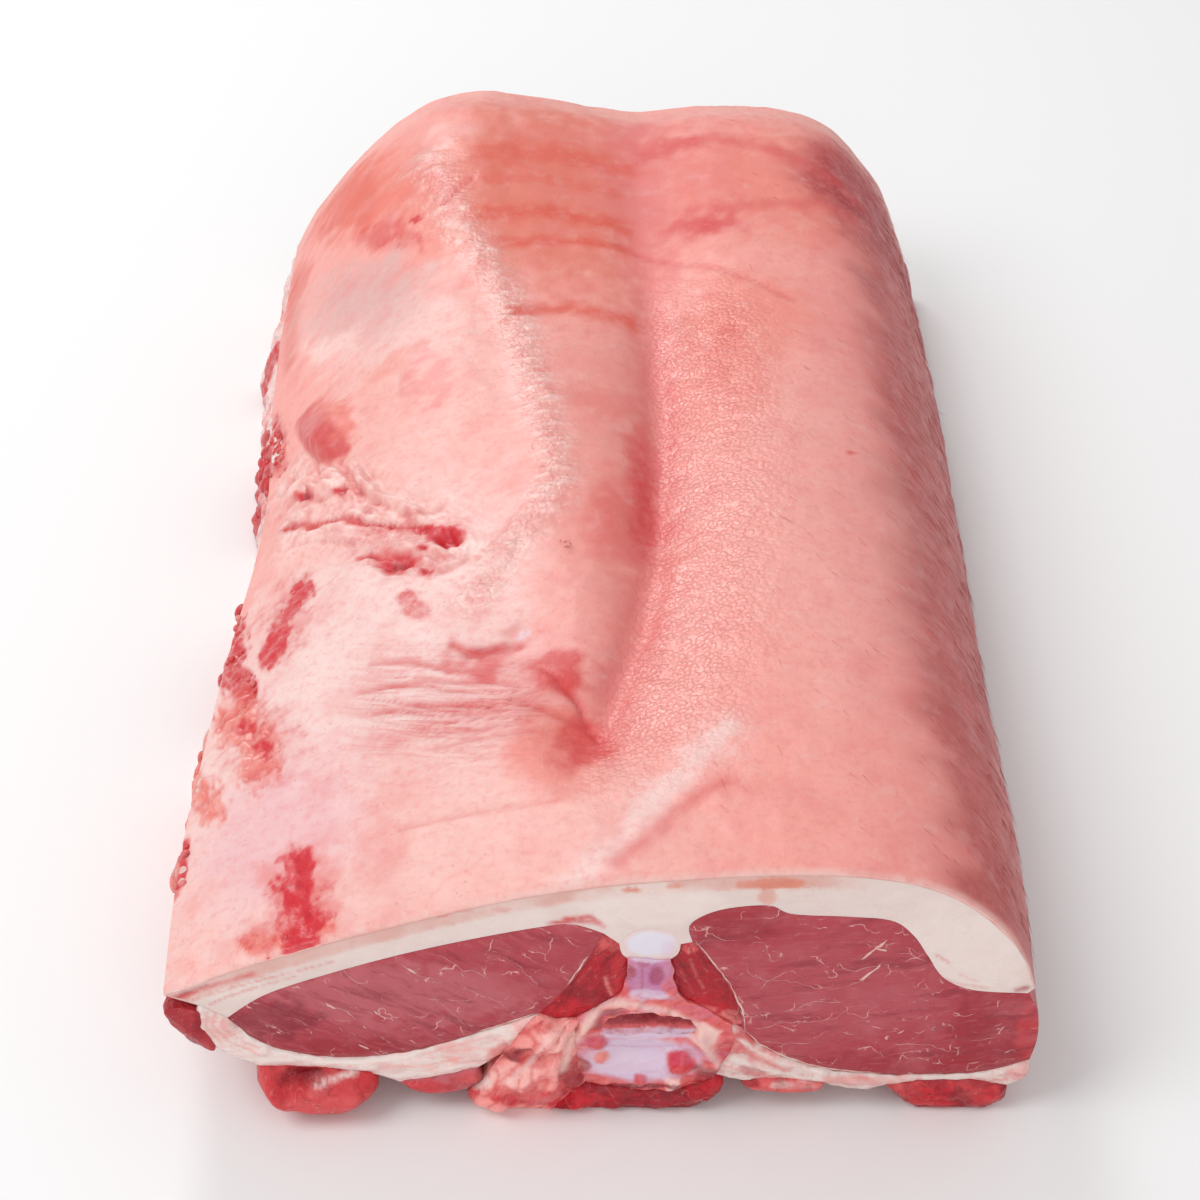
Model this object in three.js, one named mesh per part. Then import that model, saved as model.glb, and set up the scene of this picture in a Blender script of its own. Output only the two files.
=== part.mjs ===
// A bone-in, skin-on double loin of pork: both loins side by side, the backbone
// between them, one layer of back fat and skin over the top, and the lining,
// strips of meat and trimmings underneath. Every tissue that shows on the cut
// face is a solid that runs the whole length.
//
// The cut face is drawn once as a map of seams. Two tissues that touch share a
// seam, each outline is a ring of seams, and each outline is lofted from the
// shown end to the far end while the cross-section changes shape.
import * as THREE from "three";
import { mergeVertices } from "three/addons/utils/BufferGeometryUtils.js";

// Driving dimensions in millimetres. X runs across, Y runs from the shown cut
// face (-Y) to the far end (+Y), and Z is up from the surface it lies on.
const LENGTH = 518;
const SEAM_GAP = 0.8; // clear space between two tissues
const SEAM_STEP = 8; // length of one facet along a seam
const SKIN_STEP = 7.5;
const INNER_STATIONS = 12; // lengths of the lofted tissues
const SKIN_STATIONS = 26;
const FLANK_STATIONS = 48;
const SKIN_EDGE = 139.5; // both edges of the skin, from the middle
const SPREAD = 0.045; // the far end is wider than the shown end by this share
const SPREAD_OVER = 300; // length over which it widens
const FLAT_UNDER = 0.8; // anything lower than this lies flat on the surface
const SAME_POINT = 0.001; // points this close together are one point
const CANAL_SIDES = 12; // facets round the canal of the backbone

// Height of the skin over the cut face, as [x, z], at the shown and far ends.
const SHOWN_SKIN = [
  [-SKIN_EDGE, 54], [-124, 63], [-105, 72], [-63, 88], [-19, 101], [16, 106.5],
  [62, 109.5], [92, 107], [112, 99], [128.5, 83.5], [136.5, 68], [SKIN_EDGE, 57],
];
const FAR_SKIN = [
  [-SKIN_EDGE, 27], [-128, 51], [-109, 79.5], [-79, 106.5], [-56, 114.5], [-28, 111.5],
  [15, 105], [50, 107.5], [82, 104.5], [104, 94], [125, 65], [SKIN_EDGE, 22],
];

// Where several tissues meet on the cut face, as [x, z].
const LEFT_TIP = [-120, 43];
const LEFT_CORNER = [-128, 49];
const LEFT_APEX = [1, 82];
const LEFT_HEEL = [-20, 45];
const RIGHT_APEX = [29.5, 78];
const RIGHT_HEEL = [47, 37];
const RIGHT_SHOULDER = [137, 54.6];
const RIGHT_TIP = [140.5, 23];
const CAP_LEFT = [6.5, 77];
const CAP_RIGHT = [25.5, 77];
const STALK_LEFT = [9.5, 70.5];
const STALK_RIGHT = [22.5, 70.5];
const ARCH_LEFT = [-7, 43];
const ARCH_RIGHT = [43, 40];
const BODY_LEFT = [-5, 13];
const BODY_RIGHT = [38, 17];
const TRIM_TOP = [-33, 26];
const TRIM_FOOT = [-16, 0];
const LOBE_LEFT = [-111, 20.5];
const LOBE_RIGHT = [-76, 17.5];
const LEFT_STRIP_OUT = [-67, 13];
const LEFT_STRIP_IN = [-41, 20];
const RIGHT_STRIP_OUT = [134, 11];
const RIGHT_STRIP_IN = [95, 11.5];
const INNER_STRIP_OUT = [74, 12.5];
const INNER_STRIP_IN = [47, 13.5];

// The seams of the cut face. Each runs from one meeting point to another.
const SEAMS = {
  skin: SHOWN_SKIN,
  leftFatEdge: [SHOWN_SKIN[0], [-137, 50.5], LEFT_CORNER],
  leftWrap: [LEFT_CORNER, LEFT_TIP],
  leftFat: [LEFT_TIP, [-107, 54], [-87, 63.5], [-64, 72.3], [-41, 79.3], [-20, 84.5], [-9, 86], LEFT_APEX],
  leftFatMultifidus: [LEFT_APEX, CAP_LEFT],
  capTop: [CAP_LEFT, [9.5, 82.2], [16, 84.2], [22.5, 82.2], CAP_RIGHT],
  rightFatMultifidus: [CAP_RIGHT, RIGHT_APEX],
  rightFat: [
    RIGHT_APEX, [28.7, 86], [38, 92.3], [53, 94.3], [61, 90.5], [79, 89.3], [92, 87.5],
    [99, 81], [104, 72], [110, 61.5], [120, 56], RIGHT_SHOULDER,
  ],
  rightFatEdge: [RIGHT_SHOULDER, SHOWN_SKIN.at(-1)],
  leftEyeMultifidus: [LEFT_APEX, [-3.5, 71.5], [-10, 58.5], LEFT_HEEL],
  leftEyeFloor: [LEFT_HEEL, [-40, 35.7], [-60, 27.7], [-80, 24], [-96, 25.3], [-110, 31], LEFT_TIP],
  rightEyeMultifidus: [RIGHT_APEX, [35.5, 69.5], [41.5, 58.5], [46, 46], RIGHT_HEEL],
  rightEyeFloor: [
    RIGHT_HEEL, [53, 29.5], [63, 23], [76.5, 18], [93, 15.7], [110, 15.7], [127, 17.3], RIGHT_TIP,
  ],
  rightEyeSide: [RIGHT_TIP, [142, 33], [141, 45], RIGHT_SHOULDER],
  leftCapMultifidus: [CAP_LEFT, [7.2, 73], STALK_LEFT],
  rightCapMultifidus: [STALK_RIGHT, [24.8, 73], CAP_RIGHT],
  capBone: [STALK_LEFT, STALK_RIGHT],
  leftMultifidusBone: [STALK_LEFT, [8.6, 62], [6.5, 54], [0, 48.5], ARCH_LEFT],
  rightMultifidusBone: [STALK_RIGHT, [23.4, 62], [26, 53], [34, 47.5], ARCH_RIGHT],
  leftMultifidusTrim: [ARCH_LEFT, [-14, 42], LEFT_HEEL],
  rightMultifidusFoot: [ARCH_RIGHT, RIGHT_HEEL],
  leftBoneSide: [ARCH_LEFT, [-8.5, 33], [-7, 22], BODY_LEFT],
  rightBoneSide: [BODY_RIGHT, [42.5, 26], [44, 33], ARCH_RIGHT],
  boneFloor: [BODY_LEFT, [5, 10], [17, 9], [29, 10.5], BODY_RIGHT],
  trimSpine: [BODY_LEFT, [-10, 8], TRIM_FOOT],
  trimFloor: [TRIM_FOOT, [-26, 0], [-38, 2], [-44, 7], [-38, 15], TRIM_TOP],
  trimLining: [TRIM_TOP, [-28, 33], [-24, 40], LEFT_HEEL],
  spineFloor: [BODY_RIGHT, [41, 11], [36, 4], [27, 0], [5, 0], TRIM_FOOT],
  leftLiningSide: [LEFT_CORNER, [-130.5, 42], [-128, 34], [-120, 26], LOBE_LEFT],
  lobeTop: [LOBE_LEFT, [-94, 20], LOBE_RIGHT],
  leftLiningGap: [LOBE_RIGHT, LEFT_STRIP_OUT],
  leftStripTop: [LEFT_STRIP_OUT, [-53, 16], LEFT_STRIP_IN],
  leftLiningHeel: [LEFT_STRIP_IN, TRIM_TOP],
  lobeFloor: [LOBE_RIGHT, [-74, 12], [-78, 5], [-86, 0], [-96, 0], [-107, 5], [-112, 13], LOBE_LEFT],
  leftStripFloor: [LEFT_STRIP_IN, [-40, 13], [-48, 8], [-60, 7.5], LEFT_STRIP_OUT],
  rightLiningTip: [RIGHT_TIP, [140, 16], RIGHT_STRIP_OUT],
  rightStripTop: [RIGHT_STRIP_OUT, [121, 14], [107, 13.5], RIGHT_STRIP_IN],
  rightLiningGap: [RIGHT_STRIP_IN, [86, 9], INNER_STRIP_OUT],
  innerStripTop: [INNER_STRIP_OUT, [60, 14.5], INNER_STRIP_IN],
  rightLiningHeel: [INNER_STRIP_IN, BODY_RIGHT],
  rightStripFloor: [RIGHT_STRIP_IN, [100, 5], [108, 0], [126, 0], [133, 4], RIGHT_STRIP_OUT],
  innerStripFloor: [INNER_STRIP_IN, [50, 9.5], [62, 7.5], [72, 8.5], INNER_STRIP_OUT],
};
const CANAL = [[1, 37], [3, 43], [16, 46], [29, 42.5], [31, 37.5], [24, 35], [16, 36.5], [8, 35]];

// Each tissue: its ring of seams (a minus sign walks a seam backwards), whether
// the canal runs through it, how far its two ends stand proud of the cut, its
// colour and its roughness.
const TISSUES = {
  back_fat_and_skin: {
    ring: [
      "skin", "-rightFatEdge", "-rightFat", "-rightFatMultifidus", "-capTop",
      "-leftFatMultifidus", "-leftFat", "-leftWrap", "-leftFatEdge",
    ],
    proud: 0, colour: 0xedaaa0, roughness: 0.45,
  },
  left_loin_eye: {
    ring: ["leftFat", "leftEyeMultifidus", "leftEyeFloor"],
    proud: -0.5, colour: 0xa94b54, roughness: 0.4,
  },
  right_loin_eye: {
    ring: ["rightFat", "-rightEyeSide", "-rightEyeFloor", "-rightEyeMultifidus"],
    proud: -0.5, colour: 0xac4a52, roughness: 0.4,
  },
  left_multifidus: {
    ring: [
      "leftFatMultifidus", "leftCapMultifidus", "leftMultifidusBone",
      "leftMultifidusTrim", "-leftEyeMultifidus",
    ],
    proud: -1.5, colour: 0x9e2f3a, roughness: 0.4,
  },
  right_multifidus: {
    ring: [
      "rightFatMultifidus", "rightEyeMultifidus", "-rightMultifidusFoot",
      "-rightMultifidusBone", "rightCapMultifidus",
    ],
    proud: -1.5, colour: 0x9e2f3a, roughness: 0.4,
  },
  spine_cartilage: {
    ring: ["capTop", "-rightCapMultifidus", "-capBone", "-leftCapMultifidus"],
    proud: 1.5, colour: 0xdfdcec, roughness: 0.3,
  },
  backbone: {
    ring: [
      "capBone", "rightMultifidusBone", "-rightBoneSide",
      "-boneFloor", "-leftBoneSide", "-leftMultifidusBone",
    ],
    hollow: true,
    proud: 2, colour: 0xcdb3cb, roughness: 0.35,
  },
  left_lining: {
    ring: [
      "leftWrap", "-leftEyeFloor", "-trimLining", "-leftLiningHeel",
      "-leftStripTop", "-leftLiningGap", "-lobeTop", "-leftLiningSide",
    ],
    proud: 0.5, colour: 0xecd3cd, roughness: 0.4,
  },
  right_lining: {
    ring: [
      "rightMultifidusFoot", "rightEyeFloor", "rightLiningTip", "rightStripTop",
      "rightLiningGap", "innerStripTop", "rightLiningHeel", "rightBoneSide",
    ],
    proud: 0.5, colour: 0xecd3cd, roughness: 0.4,
  },
  left_lobe: { ring: ["lobeTop", "lobeFloor"], proud: 3, colour: 0xc04850, roughness: 0.35 },
  left_strip: { ring: ["leftStripTop", "leftStripFloor"], proud: 1, colour: 0xb5414a, roughness: 0.4 },
  right_strip: { ring: ["rightStripTop", "rightStripFloor"], proud: 1.5, colour: 0xb8303a, roughness: 0.4 },
  right_inner_strip: {
    ring: ["innerStripTop", "innerStripFloor"],
    proud: 1, colour: 0xc9606a, roughness: 0.4,
  },
  left_trim: {
    ring: ["leftMultifidusTrim", "-trimLining", "-trimFloor", "-trimSpine", "-leftBoneSide"],
    proud: 2.5, colour: 0xd8837f, roughness: 0.4,
  },
  spine_trim: {
    ring: ["boneFloor", "spineFloor", "-trimSpine"],
    proud: 1.5, colour: 0x8f222c, roughness: 0.4,
  },
};
const CANAL_TISSUE = { name: "canal_tissue", proud: -7, colour: 0x8a2530, roughness: 0.45 };

// The strip of flank meat under the left edge of the skin, at the shown end and
// from FLANK_FULL_AT on, where it comes down to the surface.
const FLANK_SHOWN = [
  [-137.5, 49], [-138.5, 45], [-137.5, 40], [-135.5, 36], [-134, 33.5],
  [-133, 33], [-132.5, 34.5], [-132, 36.5], [-132.2, 41], [-130, 47],
];
const FLANK_FULL = [
  [-138, 49], [-141, 40], [-143.5, 25], [-145.5, 9], [-144.5, 0],
  [-119, 0], [-117, 9], [-123, 22], [-132.2, 36], [-130, 47],
];
const FLANK_FULL_AT = 150;
const FLANK_OUTER_POINTS = 4; // these points of the outline carry the lumps
const FLANK_INSET = 2; // both ends stand back from the cut
// Lumps of meat on its outer side: [distance from the shown end, height, radius].
const FLANK_LUMPS = [
  [73, 4, 10], [96, 2.5, 7], [118, 4, 10], [144, 3, 8], [200, 3, 14], [228, 1.5, 10],
  [322, 2.5, 10], [346, 2, 9], [436, 4.5, 20],
];
const FLANK_LUMP_LOW = 0.25; // lowest lump height, as a share of the flank's height
const FLANK_LUMP_HIGH = 0.75;
const FLANK_LUMP_FADE = 0.5; // share of a lump's height lost over the full height of the flank
const FLANK = { name: "left_flank_meat", colour: 0xa83340, roughness: 0.4 };

// How the two sides sway along the length: [side, y, outwards, length].
const SWAYS = [
  [-1, 277, -8.5, 88], // the waist where the skin is torn
  [-1, 55, 4, 75],
  [1, 58, 3.3, 70],
  [1, 385, 2.2, 75],
];
const SWAY_FROM = 60; // nothing nearer the middle than this sways

// Relief of the skin, with y counted from the shown end. Height is up.
const GROOVE = {
  // The furrow along the backbone: [y, x, depth].
  line: [
    [40, -6, 0], [72, 0, 6], [132, 14, 8], [225, 22, 9], [350, 20.5, 6], [430, 17, 3], [518, 15, 1],
  ],
  leftWidth: 12,
  rightWidth: 24,
};
const SWELLS = [
  // [x, y, height, radius across, radius along]
  [-14, 235, 5, 28, 70], // the left loin where it crowds the furrow
  [62, 210, 2.5, 40, 120], // the crown of the right loin
  [-92, 377, -6, 28, 42], // hollow of the left side
  [-112, 288, 6, 16, 17], // muscle bulging through the torn fat
  [-86, 206, -5, 32, 14], // the tear
  [-106, 246, 3.5, 24, 14], // fold above the tear
  [-84, 172, 3, 34, 16], // fold below the tear
  [-42, 122, -4, 22, 13], // crease at the foot of the left loin
  [-26, 100, 2, 20, 12], // fold beside the pucker
  [-8, 80, -4, 14, 15], // pucker at the foot of the furrow
];
const FAR_EDGE_DROP = 5; // the skin rolls down at the far end
const FAR_EDGE_LENGTH = 40;
const SKIN_BAND = 3; // a point this close to the skin line carries its relief
const RELIEF_FADE = 25; // and it fades out over this width at both edges of the skin

const clamp01 = (t) => Math.min(1, Math.max(0, t));
const smooth = (t) => clamp01(t) ** 2 * (3 - 2 * clamp01(t));
const mix = (a, b, t) => a + (b - a) * t;
const bell = (t) => Math.exp(-t * t);

// A smooth height through rows of [position, value...]: value number `column`.
function along(rows, position, column = 1) {
  const last = rows.length - 1;
  const p = Math.min(rows[last][0], Math.max(rows[0][0], position));
  const i = Math.min(last - 1, Math.max(0, rows.findIndex((row) => row[0] >= p) - 1));
  const slope = (k) => {
    const a = rows[Math.max(0, k - 1)];
    const b = rows[Math.min(last, k + 1)];
    return (b[column] - a[column]) / (b[0] - a[0]);
  };
  const [a, b] = [rows[i], rows[i + 1]];
  const span = b[0] - a[0];
  const t = (p - a[0]) / span;
  return (
    a[column] * (1 + 2 * t) * (1 - t) ** 2 +
    slope(i) * span * t * (1 - t) ** 2 +
    b[column] * t * t * (3 - 2 * t) +
    slope(i + 1) * span * t * t * (t - 1)
  );
}

// How high the skin stands above its smooth shape at x, y.
function skinRelief(x, y) {
  const line = along(GROOVE.line, y, 1);
  const width = x < line ? GROOVE.leftWidth : GROOVE.rightWidth;
  let height = -along(GROOVE.line, y, 2) * bell((x - line) / width);
  for (const [cx, cy, rise, across, length] of SWELLS) {
    height += rise * bell(Math.hypot((x - cx) / across, (y - cy) / length));
  }
  height -= FAR_EDGE_DROP * smooth((y - LENGTH + FAR_EDGE_LENGTH) / FAR_EDGE_LENGTH) ** 2;
  return height * smooth((SKIN_EDGE - Math.abs(x)) / RELIEF_FADE);
}

// How far a point at x is pushed sideways at y.
function sway(x, y) {
  let push = 0;
  for (const [side, at, outwards, length] of SWAYS) {
    if (Math.sign(x) === side) push += side * outwards * bell((y - at) / length);
  }
  return push * smooth((Math.abs(x) - SWAY_FROM) / (SKIN_EDGE - SWAY_FROM));
}

// A point of the cut face, carried to distance y from the shown end.
function carry(x, z, y) {
  const far = smooth(y / LENGTH);
  const shownHeight = along(SHOWN_SKIN, x);
  const height = mix(1, along(FAR_SKIN, x) / shownHeight, far);
  const relief = z > shownHeight - SKIN_BAND ? skinRelief(x, y) : 0;
  const spread = 1 + SPREAD * smooth(y / SPREAD_OVER);
  return new THREE.Vector3(x * spread + sway(x, y), y, z * height + relief);
}

// The points of a seam, evenly spaced, without its last one.
function seamPoints(name) {
  const backwards = name.startsWith("-");
  const key = backwards ? name.slice(1) : name;
  const curve = new THREE.SplineCurve(SEAMS[key].map(([x, z]) => new THREE.Vector2(x, z)));
  const step = key === "skin" ? SKIN_STEP : SEAM_STEP;
  const pieces = Math.max(SEAMS[key].length - 1, Math.round(curve.getLength() / step));
  const points = curve.getSpacedPoints(pieces);
  return (backwards ? points.reverse() : points).slice(0, -1);
}

// A closed outline moved inwards by half the gap, and laid flat underneath.
function shrunk(outline) {
  const inwards = THREE.ShapeUtils.isClockWise(outline) ? -1 : 1;
  return outline.map((point, i) => {
    const before = outline.at(i - 1);
    const after = outline[(i + 1) % outline.length];
    const run = after.clone().sub(before).normalize();
    const moved = new THREE.Vector2(-run.y, run.x).multiplyScalar((inwards * SEAM_GAP) / 2).add(point);
    return moved.y < FLAT_UNDER ? moved.setY(0) : moved;
  });
}

// The canal of the backbone as one smooth closed outline.
function canalOutline() {
  const curve = new THREE.CatmullRomCurve3(
    CANAL.map(([x, z]) => new THREE.Vector3(x, z, 0)),
    true,
  );
  const points = curve.getSpacedPoints(CANAL_SIDES).slice(0, -1);
  return points.map((p) => new THREE.Vector2(p.x, p.y));
}

// A loft of an outline from one end to the other, with place(x, z, y) putting
// each point where it belongs at distance y from the shown end.
function loft(outline, hole, stations, from, to, place) {
  const shape = new THREE.Shape(THREE.ShapeUtils.isClockWise(outline) ? outline.toReversed() : outline);
  if (hole) shape.holes.push(new THREE.Path(hole));
  const run = { depth: to - from, steps: stations, bevelEnabled: false };
  const prism = new THREE.ExtrudeGeometry(shape, run);
  prism.deleteAttribute("normal");
  prism.deleteAttribute("uv");
  // The shape's own plane stands up across the loin, and the prism runs back to the shown end.
  prism.rotateX(Math.PI / 2).translate(0, to, 0);
  const spot = new THREE.Vector3();
  const position = prism.getAttribute("position");
  for (let i = 0; i < position.count; i++) {
    spot.fromBufferAttribute(position, i);
    position.setXYZ(i, ...place(spot.x, spot.z, spot.y));
  }
  const solid = mergeVertices(prism, SAME_POINT);
  solid.computeVertexNormals();
  return solid;
}

// A point of the cut face at y, where y runs from one proud end to the other
// and the section itself stays that of the loin.
function carriedPoint(x, z, y) {
  const point = carry(x, z, THREE.MathUtils.clamp(y, 0, LENGTH));
  return [point.x, y, Math.max(0, point.z)];
}

// The flank meat: its outline grows down to the surface behind the shown end,
// and lumps stand out of its outer side.
function flankGeometry() {
  const outline = FLANK_SHOWN.map(([x, z]) => new THREE.Vector2(x, z));
  const place = (x, z, y) => {
    const i = FLANK_SHOWN.findIndex((p) => Math.hypot(p[0] - x, p[1] - z) < SAME_POINT);
    const grown = smooth(y / FLANK_FULL_AT);
    const base = FLANK_FULL[i].map((value, k) => mix(FLANK_SHOWN[i][k], value, grown));
    const [px, py, pz] = carriedPoint(base[0], base[1], y);
    if (i < 1 || i > FLANK_OUTER_POINTS) return [px, py, pz];
    const level = i / FLANK_OUTER_POINTS;
    let out = 0;
    FLANK_LUMPS.forEach(([at, height, radius], k) => {
      const lumpLevel = k % 2 ? FLANK_LUMP_LOW : FLANK_LUMP_HIGH;
      out += height * bell((y - at) / radius) * (1 - FLANK_LUMP_FADE * Math.abs(level - lumpLevel));
    });
    return [px - out, py, pz];
  };
  return loft(outline, null, FLANK_STATIONS, FLANK_INSET, LENGTH - FLANK_INSET, place);
}

function tissueMesh(name, geometry, colour, roughness) {
  const material = new THREE.MeshStandardMaterial({ color: colour, roughness, metalness: 0 });
  const mesh = new THREE.Mesh(geometry, material);
  mesh.name = name;
  return mesh;
}

const loin = new THREE.Group();
for (const [name, tissue] of Object.entries(TISSUES)) {
  const outline = shrunk(tissue.ring.flatMap(seamPoints));
  const hole = tissue.hollow ? canalOutline() : null;
  const stations = name === "back_fat_and_skin" ? SKIN_STATIONS : INNER_STATIONS;
  const solid = loft(outline, hole, stations, -tissue.proud, LENGTH + tissue.proud, carriedPoint);
  loin.add(tissueMesh(name, solid, tissue.colour, tissue.roughness));
}
loin.add(
  tissueMesh(
    CANAL_TISSUE.name,
    loft(
      shrunk(shrunk(canalOutline())),
      null,
      INNER_STATIONS,
      -CANAL_TISSUE.proud,
      LENGTH + CANAL_TISSUE.proud,
      carriedPoint,
    ),
    CANAL_TISSUE.colour,
    CANAL_TISSUE.roughness,
  ),
);
loin.add(tissueMesh(FLANK.name, flankGeometry(), FLANK.colour, FLANK.roughness));

// The origin is in the middle of the footprint, on the surface it lies on.
const box = new THREE.Box3().setFromObject(loin, true);
const middle = box.getCenter(new THREE.Vector3());
loin.position.set(-middle.x, -middle.y, -box.min.z);

export default loin;
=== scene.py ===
import math

import bmesh
import bpy
import numpy as np
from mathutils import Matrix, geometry


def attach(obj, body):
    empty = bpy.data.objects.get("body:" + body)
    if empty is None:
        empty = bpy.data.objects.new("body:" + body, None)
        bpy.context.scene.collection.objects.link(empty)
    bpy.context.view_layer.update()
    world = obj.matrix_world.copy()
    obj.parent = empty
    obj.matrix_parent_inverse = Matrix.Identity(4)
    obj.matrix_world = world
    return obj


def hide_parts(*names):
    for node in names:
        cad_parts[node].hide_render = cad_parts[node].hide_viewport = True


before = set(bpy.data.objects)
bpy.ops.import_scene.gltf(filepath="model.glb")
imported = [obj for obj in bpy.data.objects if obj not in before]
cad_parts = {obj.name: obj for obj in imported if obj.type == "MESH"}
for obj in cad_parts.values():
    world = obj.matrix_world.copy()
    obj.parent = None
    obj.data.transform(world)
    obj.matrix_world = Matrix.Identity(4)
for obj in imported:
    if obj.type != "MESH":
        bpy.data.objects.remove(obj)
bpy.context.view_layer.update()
print("frame loaded with", len(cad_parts), "tissues")

# The whole loin in millimetres: x across, y back from the shown cut, z up
loin = {
    "length": 518,
    "skinEdge": 139.5,     # both edges of the skin, from the middle of the map
    "middleX": -2.987,     # middle of the footprint on the map
    "spread": 0.045,       # the far end is wider by this share
    "spreadOver": 300,
    "swayFrom": 60,        # the sides sway from this x outwards
    "reliefFade": 25,      # the relief fades out this near to the edges
    "farDrop": 5,          # the skin falls to the far cut
    "farDropOver": 40,
    "furrowLeft": 12,      # width of the furrow's two walls
    "furrowRight": 24,
}
edge = loin["skinEdge"]
length = loin["length"]

shownSkin = [
    (-edge, 54), (-124, 63), (-105, 72), (-63, 88), (-19, 101), (16, 106.5),
    (62, 109.5), (92, 107), (112, 99), (128.5, 83.5), (136.5, 68), (edge, 57),
]
farSkin = [
    (-edge, 27), (-128, 51), (-109, 79.5), (-79, 106.5), (-56, 114.5), (-28, 111.5),
    (15, 105), (50, 107.5), (82, 104.5), (104, 94), (125, 65), (edge, 22),
]
# side, y, outwards, length
sways = [(-1, 277, -8.5, 88), (-1, 55, 4, 75), (1, 58, 3.3, 70), (1, 385, 2.2, 75)]
# y, x, depth of the furrow over the backbone
furrow = [
    (40, -6, 0), (72, 0, 6), (132, 14, 8), (225, 22, 9), (350, 20.5, 6), (430, 17, 3), (518, 15, 1),
]
# x, y, height, radius across, radius along
swells = [
    (-14, 235, 5, 28, 70), (62, 210, 2.5, 40, 120), (-92, 377, -6, 28, 42), (-112, 288, 6, 16, 17),
    (-86, 206, -5, 32, 14), (-106, 246, 3.5, 24, 14), (-84, 172, 3, 34, 16), (-42, 122, -4, 22, 13),
    (-26, 100, 2, 20, 12), (-8, 80, -4, 14, 15),
]

# Where several tissues meet on the cut, as x, z
leftTip, leftCorner, leftApex, leftHeel = (-120, 43), (-128, 49), (1, 82), (-20, 45)
rightApex, rightHeel, rightShoulder, rightTip = (29.5, 78), (47, 37), (137, 54.6), (140.5, 23)
capLeft, capRight, stalkLeft, stalkRight = (6.5, 77), (25.5, 77), (9.5, 70.5), (22.5, 70.5)
archLeft, archRight, bodyLeft, bodyRight = (-7, 43), (43, 40), (-5, 13), (38, 17)
trimTop, trimFoot, lobeLeft, lobeRight = (-33, 26), (-16, 0), (-111, 20.5), (-76, 17.5)
stripLeftOut, stripLeftIn, stripRightOut, stripRightIn = (-67, 13), (-41, 20), (134, 11), (95, 11.5)
innerOut, innerIn = (74, 12.5), (47, 13.5)

seams = {
    "leftWrap": [leftCorner, leftTip],
    "leftFat": [
        leftTip, (-107, 54), (-87, 63.5), (-64, 72.3), (-41, 79.3), (-20, 84.5), (-9, 86), leftApex,
    ],
    "leftFatWedge": [leftApex, capLeft],
    "capTop": [capLeft, (9.5, 82.2), (16, 84.2), (22.5, 82.2), capRight],
    "rightFatWedge": [capRight, rightApex],
    "rightFat": [
        rightApex, (28.7, 86), (38, 92.3), (53, 94.3), (61, 90.5), (79, 89.3), (92, 87.5),
        (99, 81), (104, 72), (110, 61.5), (120, 56), rightShoulder,
    ],
    "leftEyeWedge": [leftApex, (-3.5, 71.5), (-10, 58.5), leftHeel],
    "leftEyeFloor": [
        leftHeel, (-40, 35.7), (-60, 27.7), (-80, 24), (-96, 25.3), (-110, 31), leftTip,
    ],
    "rightEyeWedge": [rightApex, (35.5, 69.5), (41.5, 58.5), (46, 46), rightHeel],
    "rightEyeFloor": [
        rightHeel, (53, 29.5), (63, 23), (76.5, 18), (93, 15.7), (110, 15.7), (127, 17.3), rightTip,
    ],
    "rightEyeSide": [rightTip, (142, 33), (141, 45), rightShoulder],
    "leftCapWedge": [capLeft, (7.2, 73), stalkLeft],
    "rightCapWedge": [stalkRight, (24.8, 73), capRight],
    "capBone": [stalkLeft, stalkRight],
    "leftWedgeBone": [stalkLeft, (8.6, 62), (6.5, 54), (0, 48.5), archLeft],
    "rightWedgeBone": [stalkRight, (23.4, 62), (26, 53), (34, 47.5), archRight],
    "leftWedgeTrim": [archLeft, (-14, 42), leftHeel],
    "rightWedgeFoot": [archRight, rightHeel],
    "leftBoneSide": [archLeft, (-8.5, 33), (-7, 22), bodyLeft],
    "rightBoneSide": [bodyRight, (42.5, 26), (44, 33), archRight],
    "boneFloor": [bodyLeft, (5, 10), (17, 9), (29, 10.5), bodyRight],
    "trimSpine": [bodyLeft, (-10, 8), trimFoot],
    "trimFloor": [trimFoot, (-26, 0), (-38, 2), (-44, 7), (-38, 15), trimTop],
    "trimLining": [trimTop, (-28, 33), (-24, 40), leftHeel],
    "spineFloor": [bodyRight, (41, 11), (36, 4), (27, 0), (5, 0), trimFoot],
    "leftLiningSide": [leftCorner, (-130.5, 42), (-128, 34), (-120, 26), lobeLeft],
    "lobeTop": [lobeLeft, (-94, 20), lobeRight],
    "leftLiningGap": [lobeRight, stripLeftOut],
    "leftStripTop": [stripLeftOut, (-53, 16), stripLeftIn],
    "leftLiningHeel": [stripLeftIn, trimTop],
    "lobeFloor": [
        lobeRight, (-74, 12), (-78, 5), (-86, 0), (-96, 0), (-107, 5), (-112, 13), lobeLeft,
    ],
    "leftStripFloor": [stripLeftIn, (-40, 13), (-48, 8), (-60, 7.5), stripLeftOut],
    "rightLiningTip": [rightTip, (140, 16), stripRightOut],
    "rightStripTop": [stripRightOut, (121, 14), (107, 13.5), stripRightIn],
    "rightLiningGap": [stripRightIn, (86, 9), innerOut],
    "innerStripTop": [innerOut, (60, 14.5), innerIn],
    "rightLiningHeel": [innerIn, bodyRight],
    "rightStripFloor": [stripRightIn, (100, 5), (108, 0), (126, 0), (133, 4), stripRightOut],
    "innerStripFloor": [innerIn, (50, 9.5), (62, 7.5), (72, 8.5), innerOut],
}
canal = [(1, 37), (3, 43), (16, 46), (29, 42.5), (31, 37.5), (24, 35), (16, 36.5), (8, 35)]

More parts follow.
